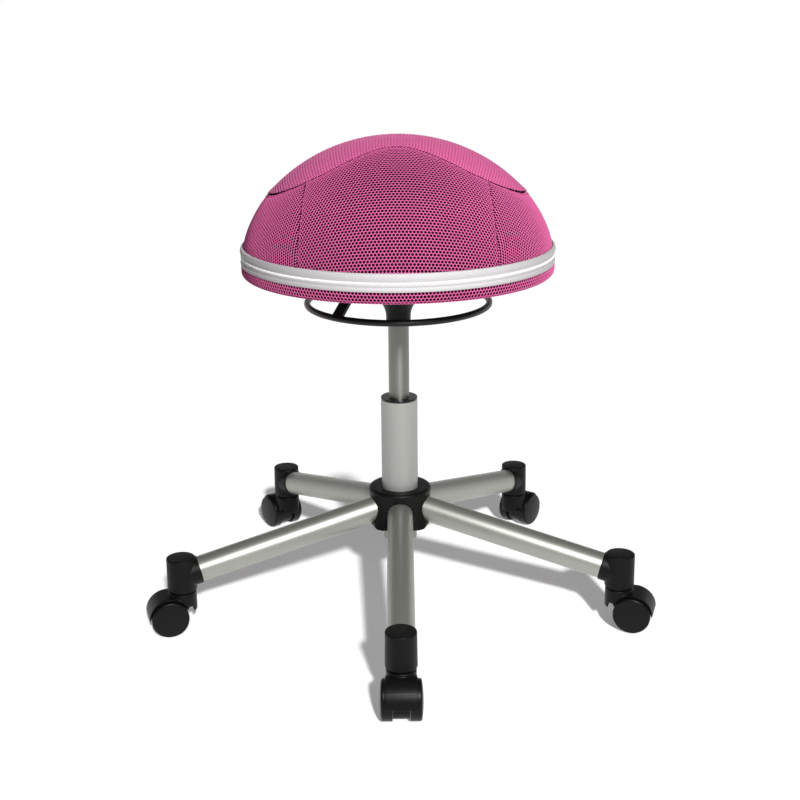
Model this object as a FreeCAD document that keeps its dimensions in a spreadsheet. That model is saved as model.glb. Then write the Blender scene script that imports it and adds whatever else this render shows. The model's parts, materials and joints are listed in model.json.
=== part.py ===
import FreeCAD, Part
import Sketcher
import math
import os
import re

from FreeCAD import Placement, Rotation, Vector

# A five-star stool on twin-wheel casters. A gas lift carries an air-filled half ball under a
# zipped mesh cover, and a ring lever under the seat presses the valve of the lift.
# The origin is on the floor below the column, +Z is up and the front faces -Y.
doc = FreeCAD.newDocument("LabStool")

# Driving dimensions, in millimetres and degrees
SIZES = {
    # Fits
    "run_clearance": 0.05,
    "press_clearance": 0.03,
    "seat_gap": 0.3,
    # Casters
    "wheel_radius": 25,
    "wheel_inner": 10.5,
    "wheel_outer": 26,
    "tread_outer": 21.5,
    "tread_edge": 1,
    "wheel_shoulder": 3,
    "wheel_dome_radius": 170,
    "rim_wall": 3.6,
    "disc_wall": 3.5,
    "wheel_hub_radius": 7,
    "axle_radius": 3,
    "axle_reach": 23.5,
    "caster_circle": 309,
    "caster_trail": 20.8,
    "hood_width": 38.7,
    "hood_gap": 0.8,
    "hood_wall": 1.7,
    "boss_radius": 18.5,
    "boss_edge": 1,
    "skirt_bottom": 29,
    "skirt_wall": 6.5,
    "skirt_slot_top": 37,
    "web_radius": 22,
    "web_half": 10,
    "stem_radius": 5.5,
    "stem_foot_radius": 5,
    "stem_foot_depth": 16,
    "stem_collar_radius": 9,
    "stem_collar": 1.7,
    "stem_length": 35,
    "stem_tip": 1.5,
    # Caster holders
    "holder_bottom": 58,
    "holder_top": 104,
    "holder_top_radius": 19.2,
    "holder_bottom_radius": 19.75,
    "holder_edge": 1.2,
    "stub_radius": 19,
    "stub_length": 25,
    "stub_start": "=caster_circle - stub_length",
    # Arms
    "arm_radius": 17.5,
    "arm_wall": 1.5,
    "arm_height": 145.5,
    "arm_drop": 67.3729,
    "arm_tilt": "=atan(arm_drop / caster_circle) / 1 deg",
    "arm_short": 11,
    "arm_end": "=caster_circle - arm_short",
    # Hub
    "core_radius": 31,
    "core_bottom": 118,
    "core_top": 162,
    "hub_face": 43.5,
    "hub_corner": 50.5,
    "hub_bottom": 116.7,
    "hub_top": 168,
    "hub_top_radius": 43.3,
    "hub_rim": 4,
    "hub_flare": 70,
    "hub_bore_gap": 0.8,
    "arm_opening_gap": 1,
    # Gas lift
    "column_radius": 25,
    "column_wall": 2,
    "column_top": 294,
    "column_bottom": 92,
    "column_floor": 4,
    "taper_top": 166,
    "taper_angle": 1.437,
    "bush_flange": 3,
    "bush_edge": 0.8,
    "bush_length": 80,
    "rod_radius": 5,
    "rod_hole_gap": 0.5,
    "rod_bottom": 86,
    "rod_shoulder_radius": 8,
    "rod_shoulder": 4,
    "rod_spigot_radius": 4,
    "rod_head_radius": 6,
    "rod_head": 2.5,
    "clip_radius": 10,
    "clip_groove_radius": 4.2,
    "clip_thickness": 1.4,
    "race_inner": 6,
    "race_outer": 19,
    "race_thickness": 2.5,
    "ball_radius": 2.5,
    "ball_circle": 12.5,
    "piston_bottom": 229.5,
    "piston_height": 12,
    "cylinder_radius": 14,
    "cylinder_bore": 12,
    "cylinder_bottom": 216,
    "cylinder_floor": 4,
    "cylinder_taper": 402,
    "cylinder_top": 450,
    "valve_chamber": 436,
    "valve_radius": 4,
    "valve_low": 438,
    "valve_edge": 0.8,
    # Seat mount and ring lever
    "mount_bottom": 400,
    "mount_neck_radius": 16.5,
    "mount_neck": 10,
    "mount_cup_radius": 26,
    "mount_cup": 431,
    "mount_flare": 30,
    "mount_shoulder_radius": 38,
    "mount_shoulder": 462,
    "flange_radius": 75,
    "flange_bottom": 467,
    "lever_slot_bottom": 452,
    "lever_slot_top": 468,
    "lever_slot_gap": 1,
    "ring_radius": 121,
    "ring_tube": 4.2,
    "ring_height": 429,
    "bar_width": 16,
    "bar_thickness": 4,
    "bar_bottom": 461,
    "bar_azimuth": -130,
    "pivot_offset": 25,
    "pivot_radius": 2,
    "pivot_lug": 4.5,
    "pivot_reach": 20,
    # Seat
    "pan_bottom": 473.3,
    "pan_top": 485,
    "pan_radius": 201,
    "pan_edge": 5,
    "screw_circle": 60,
    "screw_radius": 3,
    "screw_head_radius": 5.5,
    "screw_head": 3.3,
    "screw_grip": 9,
    "plug_circle": 110,
    "plug_access": 12,
    "plug_radius": 5,
    "plug_head_radius": 8,
    "plug_head": 2,
    "plug_grip": 6,
    "seat_apex": 648,
    "dome_height": 150,
    "ball_wall": 4,
    "foot_draw": 2,
    "cover_thickness": 2.4,
    "cover_edge": 498,
    "cover_edge_radius": 202.9,
    "crown_radius": 228,
    "crown_corner": 168,
    "side_fullness": 1.7,
    # Zip and skirt
    "tape_thickness": 1.5,
    "tape_radius": 203.4,
    "tape_lean": 1.2,
    "tape_top": 508.2,
    "tape_bottom": 486,
    "coil_height": 497,
    "coil_radius": 1.15,
    "coil_gap": 0.05,
    "slider_height": 9,
    "slider_thickness": 1.9,
    "slider_angle": 5,
    "lug_reach": 2.2,
    "lug_width": 8,
    "lug_post": 1.1,
    "lug_pin_radius": 0.9,
    "pull_eye_radius": 1.7,
    "pull_width": 5.2,
    "pull_thickness": 1.2,
    "pull_length": 22,
    "skirt_radius": 205.3,
    "skirt_thickness": 1.9,
    "skirt_low": 471.1,
    "skirt_round": 6,
    "skirt_hem_radius": 160,
    "skirt_shoulder": 483.2,
    "skirt_top": 494.5,
    "skirt_top_radius": 203.2,
    "skirt_step": 2.5,
}
ARM_COUNT = 5
BALL_COUNT = 12
SCREW_COUNT = 4
ARM_AZIMUTHS = [-90 - number * 360 / ARM_COUNT for number in range(ARM_COUNT)]

sheet = doc.addObject("Spreadsheet::Sheet", "Sizes")
for row, (alias, number) in enumerate(SIZES.items(), start=1):
    sheet.set(f"A{row}", str(number))
    sheet.setAlias(f"A{row}", alias)
doc.recompute()

X_AXIS, Y_AXIS, Z_AXIS = Vector(1, 0, 0), Vector(0, 1, 0), Vector(0, 0, 1)
pieces = []


def sized(text):
    """An expression in which each size's name points at its cell."""
    return re.sub(r"[a-z]\w*", lambda word: f"Sizes.{word[0]}" if word[0] in SIZES else word[0], text)


def value(text):
    return float(sheet.evalExpression(sized(text)))


def bind(item, **sizes):
    for name, text in sizes.items():
        item.setExpression(name, sized(text))
    return item


def place(item, x="0", y="0", z="0", turn=Rotation()):
    item.Placement = Placement(Vector(), turn)
    for axis, text in zip("xyz", (x, y, z)):
        item.setExpression(f"Placement.Base.{axis}", sized(text))
    return item


def piece(item, label):
    item.Label = label
    pieces.append(item)
    return item


def cylinder(name, radius, height, **where):
    return place(bind(doc.addObject("Part::Cylinder", name), Radius=radius, Height=height), **where)


def box(name, length, width, height, **where):
    item = doc.addObject("Part::Box", name)
    return place(bind(item, Length=length, Width=width, Height=height), **where)


def cut(name, base, tool):
    item = doc.addObject("Part::Cut", name)
    item.Base, item.Tool = base, tool
    return item


def common(name, base, tool):
    item = doc.addObject("Part::Common", name)
    item.Base, item.Tool = base, tool
    return item


def fuse(name, *items):
    item = doc.addObject("Part::MultiFuse", name)
    item.Shapes = list(items)
    return item


def group(name, *items):
    item = doc.addObject("Part::Compound", name)
    item.Links = list(items)
    return item


def arc_between(start, end, radius):
    """The short arc from start to end. A positive radius turns left on the way, a negative one right."""
    chord = end - start
    left = Vector(-chord.y, chord.x, 0).normalize()
    rise = math.sqrt(radius**2 - chord.Length**2 / 4)
    centre = (start + end) * 0.5 + left * math.copysign(rise, radius)
    first, last = (start, end) if radius > 0 else (end, start)
    angles = [math.atan2(point.y - centre.y, point.x - centre.x) for point in (first, last)]
    return Part.ArcOfCircle(Part.Circle(centre, Z_AXIS, abs(radius)), *angles)


def turned(name, corners, angle="360"):
    """A body turned about its own Z axis.

    Each corner of the outline is (radius, height), with a third text where an arc of that radius
    leads to it, signed as in arc_between.
    """
    body = doc.addObject("PartDesign::Body", name)
    outline = body.newObject("Sketcher::SketchObject", name + "_outline")
    plane = next(feature for feature in body.Origin.OriginFeatures if feature.Role == "XZ_Plane")
    outline.AttachmentSupport = [(plane, "")]
    outline.MapMode = "FlatFace"
    points = [Vector(value(corner[0]), value(corner[1]), 0) for corner in corners]
    ends = []
    for number, corner in enumerate(corners):
        start, end = points[number - 1], points[number]
        rounded = len(corner) == 3
        edge = arc_between(start, end, value(corner[2])) if rounded else Part.LineSegment(start, end)
        outline.addGeometry(edge)
        ends.append((2, 1) if rounded and corner[2].startswith("-") else (1, 2))
    for number, corner in enumerate(corners):
        following = (number + 1) % len(corners)
        finish = ends[number][1]
        outline.addConstraint(
            Sketcher.Constraint("Coincident", number, finish, following, ends[following][0])
        )
        if corner[0] == "0":
            outline.addConstraint(Sketcher.Constraint("PointOnObject", number, finish, -2))
        else:
            across = outline.addConstraint(
                Sketcher.Constraint("DistanceX", -1, 1, number, finish, points[number].x)
            )
            outline.setExpression(f"Constraints[{across}]", sized(corner[0]))
        up = outline.addConstraint(
            Sketcher.Constraint("DistanceY", -1, 1, number, finish, points[number].y)
        )
        outline.setExpression(f"Constraints[{up}]", sized(corner[1]))
        if len(corner) == 3:
            bend = outline.addConstraint(Sketcher.Constraint("Radius", number, abs(value(corner[2]))))
            outline.setExpression(f"Constraints[{bend}]", sized(corner[2].lstrip("-")))
    turning = body.newObject("PartDesign::Revolution", name + "_turning")
    turning.Profile = outline
    turning.ReferenceAxis = (outline, ["V_Axis"])
    turning.setExpression("Angle", sized(angle))
    body.Tip = turning
    return body


def about_z(degrees):
    return Rotation(Z_AXIS, degrees)


def along_arm(name, radius, start, end):
    """A cylinder on an arm's sloping axis, for the arm that points along +X."""
    return cylinder(
        name,
        radius,
        f"({end} - ({start})) / cos(arm_tilt)",
        x=start,
        z=f"arm_height - ({start}) * tan(arm_tilt)",
        turn=Rotation(Y_AXIS, 90 + value("arm_tilt")),
    )


# Hub core: a turned steel socket with a tapered bore, to which the arms are welded
TAPER_RADIUS = "(column_radius - (taper_top - {height}) * tan(taper_angle))"
core_low = TAPER_RADIUS.format(height="core_bottom")
core_high = TAPER_RADIUS.format(height="core_top")
hub_core = turned(
    "hub_core",
    [
        (core_low + " + press_clearance", "core_bottom"),
        ("core_radius", "core_bottom"),
        ("core_radius", "core_top"),
        (core_high + " + press_clearance", "core_top"),
    ],
)
piece(hub_core, "hub_core")

# Hub cover: a moulded five-sided shroud with a round top, open below and arched over each arm
hub_round = turned(
    "hub_round",
    [
        ("core_radius + seat_gap", "hub_bottom"),
        ("hub_corner", "hub_bottom"),
        ("hub_top_radius", "hub_top - hub_rim", "-hub_flare"),
        ("hub_top_radius - hub_rim", "hub_top", "hub_rim"),
        ("column_radius + hub_bore_gap", "hub_top"),
        ("column_radius + hub_bore_gap", "core_top + seat_gap"),
        ("core_radius + seat_gap", "core_top + seat_gap"),
    ],
)
hub_sides = doc.addObject("Part::Prism", "hub_sides")
hub_sides.Polygon = ARM_COUNT
bind(hub_sides, Circumradius=f"hub_face / cos(180 / {ARM_COUNT})", Height="hub_top - hub_bottom")
place(hub_sides, z="hub_bottom", turn=about_z(ARM_AZIMUTHS[0] + 180 / ARM_COUNT))
arm_openings = []
for number, azimuth in enumerate(ARM_AZIMUTHS, start=1):
    bore = along_arm(f"opening_bore_{number}", "arm_radius + arm_opening_gap", "hub_face / 2", "hub_face * 2")
    opening = group(f"arm_opening_{number}", bore)
    arm_openings.append(place(opening, turn=about_z(azimuth)))
hub_body = common("hub_body", hub_round, hub_sides)
piece(cut("hub_cover", hub_body, fuse("arm_openings", *arm_openings)), "hub_cover")


def base_arm(number, azimuth):
    """A round steel tube, its inner end coped to the hub core."""
    start = "core_radius * 0.8"
    wall = along_arm(f"arm_wall_{number}", "arm_radius", start, "arm_end")
    bore = along_arm(f"arm_bore_{number}", "arm_radius - arm_wall", start, "arm_end")
    tube = cut(f"arm_tube_{number}", wall, bore)
    cope = cylinder(f"arm_cope_{number}", "core_radius + press_clearance", "core_top * 2")
    arm = cut(f"base_arm_{number}", tube, cope)
    piece(place(arm, turn=about_z(azimuth)), f"base_arm_{number}")


def caster_holder(number, azimuth):
    """A moulded upright socket on the arm's end, bored for the arm and for the caster's stem."""
    upright = turned(
        f"holder_upright_{number}",
        [
            ("0", "holder_bottom"),
            ("holder_bottom_radius - holder_edge", "holder_bottom"),
            ("holder_bottom_radius", "holder_bottom + holder_edge", "holder_edge"),
            ("holder_top_radius", "holder_top - holder_edge"),
            ("holder_top_radius - holder_edge", "holder_top", "holder_edge"),
            ("0", "holder_top"),
        ],
    )
    place(upright, x="caster_circle")
    stub = along_arm(f"holder_stub_{number}", "stub_radius", "stub_start", "caster_circle")
    arm_seat = along_arm(
        f"holder_arm_seat_{number}",
        "arm_radius + press_clearance",
        "stub_start - stub_radius",
        "arm_end + seat_gap",
    )
    stem_bore = cylinder(
        f"holder_stem_bore_{number}",
        "stem_radius + run_clearance",
        "stem_length + stem_tip",
        x="caster_circle",
        z="holder_bottom - stem_tip",
    )
    shell = fuse(f"holder_shell_{number}", upright, stub)
    bores = fuse(f"holder_bores_{number}", arm_seat, stem_bore)
    holder = cut(f"caster_holder_{number}", shell, bores)
    piece(place(holder, turn=about_z(azimuth)), f"caster_holder_{number}")


COLLAR_TOP = "(holder_bottom - seat_gap)"
BOSS_TOP = "(holder_bottom - seat_gap - stem_collar)"


def on_caster_circle(item, azimuth, offset="0", height="0", turn=None):
    """Puts a piece at a caster's stem, or outwards of it by the offset."""
    radius = f"(caster_circle + {offset})"
    return place(
        item,
        x=f"{radius} * cos({azimuth})",
        y=f"{radius} * sin({azimuth})",
        z=height,
        turn=turn or about_z(azimuth),
    )


def caster_stem(number, azimuth):
    """A turned steel stem: a foot pressed into the hood, a collar, and the shank in the holder."""
    stem = turned(
        f"caster_stem_{number}",
        [
            ("0", BOSS_TOP + " - stem_foot_depth"),
            ("stem_foot_radius", BOSS_TOP + " - stem_foot_depth"),
            ("stem_foot_radius", BOSS_TOP),
            ("stem_collar_radius", BOSS_TOP),
            ("stem_collar_radius", COLLAR_TOP),
            ("stem_radius", COLLAR_TOP),
            ("stem_radius", COLLAR_TOP + " + stem_length - stem_tip * 2"),
            ("stem_radius - stem_tip", COLLAR_TOP + " + stem_length - stem_tip"),
            ("0", COLLAR_TOP + " + stem_length - stem_tip"),
        ],
    )
    piece(on_caster_circle(stem, azimuth), f"caster_stem_{number}")


def across_caster(name, radius, start, length):
    """A cylinder along a caster's axle line, for a caster that trails along +X."""
    return cylinder(
        name, radius, length, x="caster_trail", y=start, z="wheel_radius", turn=Rotation(X_AXIS, -90)
    )


def caster_hood(number, azimuth):
    """A moulded hood: a round boss for the stem, a canopy over both wheels and a web for the axle."""
    canopy_disc = across_caster(
        f"hood_disc_{number}", "wheel_radius + hood_gap + hood_wall", "-hood_width / 2", "hood_width"
    )
    lower_half = box(
        f"hood_lower_half_{number}",
        "wheel_radius * 4",
        "hood_width * 2",
        "wheel_radius * 2",
        x="caster_trail - wheel_radius * 2",
        y="-hood_width",
        z="-wheel_radius",
    )
    canopy = cut(f"hood_canopy_{number}", canopy_disc, lower_half)
    web = across_caster(f"hood_web_{number}", "web_radius", "-web_half", "web_half * 2")
    boss = turned(
        f"hood_boss_{number}",
        [
            ("0", "skirt_bottom"),
            ("boss_radius", "skirt_bottom"),
            ("boss_radius", BOSS_TOP + " - boss_edge"),
            ("boss_radius - boss_edge", BOSS_TOP, "boss_edge"),
            ("0", BOSS_TOP),
        ],
    )
    solid = fuse(f"hood_solid_{number}", canopy, web, boss)
    room = "wheel_radius + hood_gap"
    room_left = across_caster(f"hood_room_left_{number}", room, "web_half", "hood_width")
    room_right = across_caster(f"hood_room_right_{number}", room, "-web_half - hood_width", "hood_width")
    slot = box(
        f"hood_slot_{number}",
        "boss_radius - skirt_wall + caster_trail - wheel_radius",
        "hood_width * 2",
        "skirt_slot_top - skirt_bottom * 0.5",
        x="skirt_wall - boss_radius",
        y="-hood_width",
        z="skirt_bottom * 0.5",
    )
    axle_bore = across_caster(
        f"hood_axle_bore_{number}", "axle_radius + press_clearance", "-hood_width", "hood_width * 2"
    )
    stem_bore = cylinder(
        f"hood_stem_bore_{number}",
        "stem_foot_radius + press_clearance",
        "stem_foot_depth * 2",
        z=BOSS_TOP + " - stem_foot_depth - seat_gap",
    )
    rooms = fuse(f"hood_rooms_{number}", room_left, room_right, slot, axle_bore, stem_bore)
    hood = cut(f"caster_hood_{number}", solid, rooms)
    piece(on_caster_circle(hood, azimuth), f"caster_hood_{number}")


def caster_axle(number, azimuth):
    """A plain steel pin through the hood's web, with a wheel on each end."""
    axle = cylinder(f"caster_axle_{number}", "axle_radius", "axle_reach * 2")
    tangent = about_z(azimuth).multVec(Y_AXIS)
    radius = "(caster_circle + caster_trail)"
    place(
        axle,
        x=f"{radius} * cos({azimuth}) + axle_reach * sin({azimuth})",
        y=f"{radius} * sin({azimuth}) - axle_reach * cos({azimuth})",
        z="wheel_radius",
        turn=Rotation(Z_AXIS, tangent),
    )
    piece(axle, f"caster_axle_{number}")


def caster_wheel(number, azimuth, side, direction):
    """A moulded wheel, dished inside, with a blind bore and a domed outer face."""
    rim_inside = "(wheel_radius - rim_wall)"
    disc_inside = "(wheel_outer - disc_wall - wheel_shoulder / 2)"
    blind_end = "(axle_reach + run_clearance * 10)"
    bore = "(axle_radius + run_clearance)"
    wheel = turned(
        f"wheel_{number}_{side}",
        [
            (bore, "wheel_inner"),
            ("wheel_hub_radius", "wheel_inner"),
            ("wheel_hub_radius", disc_inside),
            (rim_inside, disc_inside),
            (rim_inside, "wheel_inner"),
            ("wheel_radius - tread_edge", "wheel_inner"),
            ("wheel_radius", "wheel_inner + tread_edge", "tread_edge"),
            ("wheel_radius", "tread_outer"),
            ("wheel_radius - wheel_shoulder", "tread_outer + wheel_shoulder", "wheel_shoulder"),
            ("wheel_hub_radius", "wheel_outer", "wheel_dome_radius"),
            ("0", "wheel_outer"),
            ("0", blind_end),
            (bore, blind_end),
        ],
    )
    outward = about_z(azimuth).multVec(Y_AXIS) * direction
    on_caster_circle(wheel, azimuth, "caster_trail", "wheel_radius", Rotation(Z_AXIS, outward))
    piece(wheel, f"wheel_{number}_{side}")


for number, azimuth in enumerate(ARM_AZIMUTHS, start=1):
    base_arm(number, azimuth)
    caster_holder(number, azimuth)
    caster_stem(number, azimuth)
    caster_hood(number, azimuth)
    caster_axle(number, azimuth)
    caster_wheel(number, azimuth, "left", 1)
    caster_wheel(number, azimuth, "right", -1)

# Column tube: the lift's outer tube, tapered where it wedges into the hub, with a pierced floor
column_low = TAPER_RADIUS.format(height="column_bottom")
floor_top = "(column_bottom + column_floor)"
inner_low = TAPER_RADIUS.format(height=floor_top) + " - column_wall"
rod_hole = "(rod_radius + rod_hole_gap)"
column_tube = turned(
    "column_tube",
    [
        (rod_hole, "column_bottom"),
        (column_low, "column_bottom"),
        ("column_radius", "taper_top"),
        ("column_radius", "column_top"),
        ("column_radius - column_wall", "column_top"),
        ("column_radius - column_wall", "taper_top"),
        (inner_low, floor_top),
        (rod_hole, floor_top),
    ],
)
piece(column_tube, "column_tube")

# Guide bush: a black plastic sleeve in the tube, whose glossy flange caps the tube's end
bush_bore = "(cylinder_radius + run_clearance)"
bush_skin = "(column_radius - column_wall - press_clearance)"
guide_bush = turned(
    "guide_bush",
    [
        (bush_bore, "column_top - bush_length"),
        (bush_skin, "column_top - bush_length"),
        (bush_skin, "column_top"),
        ("column_radius", "column_top"),
        ("column_radius", "column_top + bush_flange - bush_edge"),
        ("column_radius - bush_edge", "column_top + bush_flange", "bush_edge"),
        (bush_bore, "column_top + bush_flange"),
    ],
)
piece(guide_bush, "guide_bush")

# Thrust bearing: two washers and a ring of balls on the tube's floor, which let the seat turn
race_gap = "(ball_radius * 2 + run_clearance * 2)"
upper_race = f"({floor_top} + race_thickness + {race_gap})"


def bearing_race(name, low):
    race = turned(
        name,
        [
            ("race_inner", low),
            ("race_outer", low),
            ("race_outer", f"{low} + race_thickness"),
            ("race_inner", f"{low} + race_thickness"),
        ],
    )
    piece(race, name)


bearing_race("bearing_race_lower", floor_top)
bearing_race("bearing_race_upper", upper_race)
balls = []
for number in range(BALL_COUNT):
    ball = bind(doc.addObject("Part::Sphere", f"ball_{number + 1}"), Radius="ball_radius")
    turn = number * 360 / BALL_COUNT
    middle = f"{floor_top} + race_thickness + ball_radius + run_clearance"
    balls.append(place(ball, x=f"ball_circle * cos({turn})", y=f"ball_circle * sin({turn})", z=middle))
piece(group("bearing_balls", *balls), "bearing_balls")

# Piston rod: stands on the bearing, clipped below the tube's floor, with a spigot for the piston
shoulder_low = f"({upper_race} + race_thickness)"
groove_top = "(column_bottom - seat_gap)"
piston_top = "(piston_bottom + piston_height)"
piston_rod = turned(
    "piston_rod",
    [
        ("0", "rod_bottom"),
        ("rod_radius", "rod_bottom"),
        ("rod_radius", f"{groove_top} - clip_thickness"),
        ("clip_groove_radius", f"{groove_top} - clip_thickness"),
        ("clip_groove_radius", groove_top),
        ("rod_radius", groove_top),
        ("rod_radius", shoulder_low),
        ("rod_shoulder_radius", shoulder_low),
        ("rod_shoulder_radius", f"{shoulder_low} + rod_shoulder"),
        ("rod_radius", f"{shoulder_low} + rod_shoulder"),
        ("rod_radius", "piston_bottom"),
        ("rod_spigot_radius", "piston_bottom"),
        ("rod_spigot_radius", piston_top),
        ("rod_head_radius", piston_top),
        ("rod_head_radius", f"{piston_top} + rod_head"),
        ("0", f"{piston_top} + rod_head"),
    ],
)
piece(piston_rod, "piston_rod")

# Rod clip: a spring washer in the rod's groove, which keeps the rod in the tube's floor
clip_play = "press_clearance"
rod_clip = turned(
    "rod_clip",
    [
        (f"clip_groove_radius + {clip_play}", f"{groove_top} - clip_thickness + {clip_play}"),
        ("clip_radius", f"{groove_top} - clip_thickness + {clip_play}"),
        ("clip_radius", f"{groove_top} - {clip_play}"),
        (f"clip_groove_radius + {clip_play}", f"{groove_top} - {clip_play}"),
    ],
)
piece(rod_clip, "rod_clip")

# Piston: riveted on the rod's spigot, a running fit in the gas cylinder
piston = turned(
    "piston",
    [
        ("rod_spigot_radius + press_clearance", "piston_bottom"),
        ("cylinder_bore - run_clearance", "piston_bottom"),
        ("cylinder_bore - run_clearance", piston_top),
        ("rod_spigot_radius + press_clearance", piston_top),
    ],
)
piece(piston, "piston")

# Gas cylinder: slides over the piston, its tapered top wedged in the seat mount, bored for the valve
CYLINDER_TAPER = "(cylinder_radius - ({height} - cylinder_taper) * tan(taper_angle))"
cylinder_tip = CYLINDER_TAPER.format(height="cylinder_top")
gland = "(rod_radius + run_clearance)"
valve_bore = "(valve_radius + run_clearance)"
gas_cylinder = turned(
    "gas_cylinder",
    [
        (gland, "cylinder_bottom"),
        ("cylinder_radius", "cylinder_bottom"),
        ("cylinder_radius", "cylinder_taper"),
        (cylinder_tip, "cylinder_top"),
        (valve_bore, "cylinder_top"),
        (valve_bore, "valve_chamber"),
        ("cylinder_bore", "valve_chamber"),
        ("cylinder_bore", "cylinder_bottom + cylinder_floor"),
        (gland, "cylinder_bottom + cylinder_floor"),
    ],
)
piece(gas_cylinder, "gas_cylinder")

# Valve pin: the release button of the lift, just under the lever's bar
valve_top = "(bar_bottom - seat_gap)"
valve_pin = turned(
    "valve_pin",
    [
        ("0", "valve_low"),
        ("valve_radius", "valve_low"),
        ("valve_radius", f"{valve_top} - valve_edge"),
        ("valve_radius - valve_edge", valve_top),
        ("0", valve_top),
    ],
)
piece(valve_pin, "valve_pin")

# Seat mount: a flared moulding on the cylinder's taper, with a flange and a slot for the lever's bar,
# which is notched through the flange where the bar rises
socket_tip = cylinder_tip + " + press_clearance"
mount_cup = turned(
    "mount_cup",
    [
        ("cylinder_radius + press_clearance", "mount_bottom"),
        ("mount_neck_radius", "mount_bottom"),
        ("mount_neck_radius", "mount_bottom + mount_neck"),
        ("mount_cup_radius", "mount_cup", "-mount_flare"),
        ("mount_shoulder_radius", "mount_shoulder"),
        ("mount_shoulder_radius + flange_bottom - mount_shoulder", "flange_bottom"),
        ("flange_radius", "flange_bottom"),
        ("flange_radius", "pan_bottom"),
        ("0", "pan_bottom"),
        ("0", "lever_slot_top"),
        (socket_tip, "lever_slot_top"),
        (socket_tip, "cylinder_top"),
        ("cylinder_radius + press_clearance", "cylinder_taper"),
    ],
)
lever_turn = about_z(value("bar_azimuth"))
lever_slot = box(
    "lever_slot",
    "flange_radius * 2",
    "bar_width + lever_slot_gap * 2",
    "lever_slot_top - lever_slot_bottom",
    x="(bar_width / 2 + lever_slot_gap) * sin(bar_azimuth) - flange_radius * cos(bar_azimuth)",
    y="-(bar_width / 2 + lever_slot_gap) * cos(bar_azimuth) - flange_radius * sin(bar_azimuth)",
    z="lever_slot_bottom",
    turn=lever_turn,
)
lever_notch = box(
    "lever_notch",
    "flange_radius - mount_shoulder_radius + seat_gap",
    "bar_width + lever_slot_gap * 2",
    "pan_bottom - bar_bottom + seat_gap",
    x="(bar_width / 2 + lever_slot_gap) * sin(bar_azimuth) + mount_shoulder_radius * cos(bar_azimuth)",
    y="-(bar_width / 2 + lever_slot_gap) * cos(bar_azimuth) + mount_shoulder_radius * sin(bar_azimuth)",
    z="bar_bottom",
    turn=lever_turn,
)
bar_middle = "(bar_bottom + bar_thickness / 2)"


def across_bar(name, radius, reach):
    """A cylinder on the lever's pivot line, square to the bar."""
    return cylinder(
        name,
        radius,
        f"({reach}) * 2",
        x=f"pivot_offset * cos(bar_azimuth) + ({reach}) * sin(bar_azimuth)",
        y=f"pivot_offset * sin(bar_azimuth) - ({reach}) * cos(bar_azimuth)",
        z=bar_middle,
        turn=Rotation(Z_AXIS, lever_turn.multVec(Y_AXIS)),
    )


def screw_place(number):
    turn = value("bar_azimuth") + (number + 0.5) * 360 / SCREW_COUNT
    return {"x": f"screw_circle * cos({turn})", "y": f"screw_circle * sin({turn})"}


pivot_bore = across_bar("pivot_bore", "pivot_radius + press_clearance", "flange_radius")
mount_holes = [lever_slot, lever_notch, pivot_bore]
for number in range(SCREW_COUNT):
    mount_holes.append(
        cylinder(
            f"flange_hole_{number + 1}",
            "screw_radius + seat_gap",
            "pan_top - mount_shoulder",
            z="mount_shoulder",
            **screw_place(number),
        )
    )
piece(cut("seat_mount", mount_cup, fuse("mount_holes", *mount_holes)), "seat_mount")

# Ring lever: a round steel ring on a flat cross bar, which pivots in the mount's slot
ring = bind(doc.addObject("Part::Torus", "ring"), Radius1="ring_radius", Radius2="ring_tube")
place(ring, z="ring_height")
leg_rise = f"({bar_middle} - ring_height)"
bar_reach = f"(ring_radius - {leg_rise})"
bar_flat = box(
    "bar_flat",
    f"{bar_reach} * 2",
    "bar_width",
    "bar_thickness",
    x=f"-{bar_reach} * cos(bar_azimuth) + bar_width / 2 * sin(bar_azimuth)",
    y=f"-{bar_reach} * sin(bar_azimuth) - bar_width / 2 * cos(bar_azimuth)",
    z="bar_bottom",
    turn=lever_turn,
)


def bar_leg(name, azimuth):
    """The sloping end of the bar, from the flat down to the ring at 45 degrees."""
    half = "bar_thickness / 2"
    inset = f"({bar_reach} - {half} * sin(45))"
    return box(
        name,
        f"{leg_rise} / sin(45) + {half} * 0.5",
        "bar_width",
        "bar_thickness",
        x=f"{inset} * cos({azimuth}) + bar_width / 2 * sin({azimuth})",
        y=f"{inset} * sin({azimuth}) - bar_width / 2 * cos({azimuth})",
        z=f"{bar_middle} - {half} * cos(45)",
        turn=about_z(azimuth).multiply(Rotation(Y_AXIS, 45)),
    )


bar_azimuth = value("bar_azimuth")
lever_solid = fuse(
    "lever_solid",
    ring,
    bar_flat,
    bar_leg("bar_leg_near", bar_azimuth),
    bar_leg("bar_leg_far", bar_azimuth + 180),
    across_bar("bar_lug", "pivot_lug", "bar_width / 2"),
)
lever_bore = across_bar("lever_bore", "pivot_radius + run_clearance", "bar_width")
piece(cut("ring_lever", lever_solid, lever_bore), "ring_lever")
piece(across_bar("lever_pin", "pivot_radius", "pivot_reach"), "lever_pin")

# Seat screws: four pan-head screws up through the flange into the pan
screws = []
for number in range(SCREW_COUNT):
    screw = turned(
        f"seat_screw_{number + 1}",
        [
            ("0", "flange_bottom - screw_head"),
            ("screw_head_radius - screw_head / 2", "flange_bottom - screw_head"),
            ("screw_head_radius", "flange_bottom - screw_head / 2"),
            ("screw_head_radius", "flange_bottom"),
            ("screw_radius", "flange_bottom"),
            ("screw_radius", "pan_bottom + screw_grip"),
            ("0", "pan_bottom + screw_grip"),
        ],
    )
    screws.append(place(screw, **screw_place(number)))
piece(group("seat_screws", *screws), "seat_screws")

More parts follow.
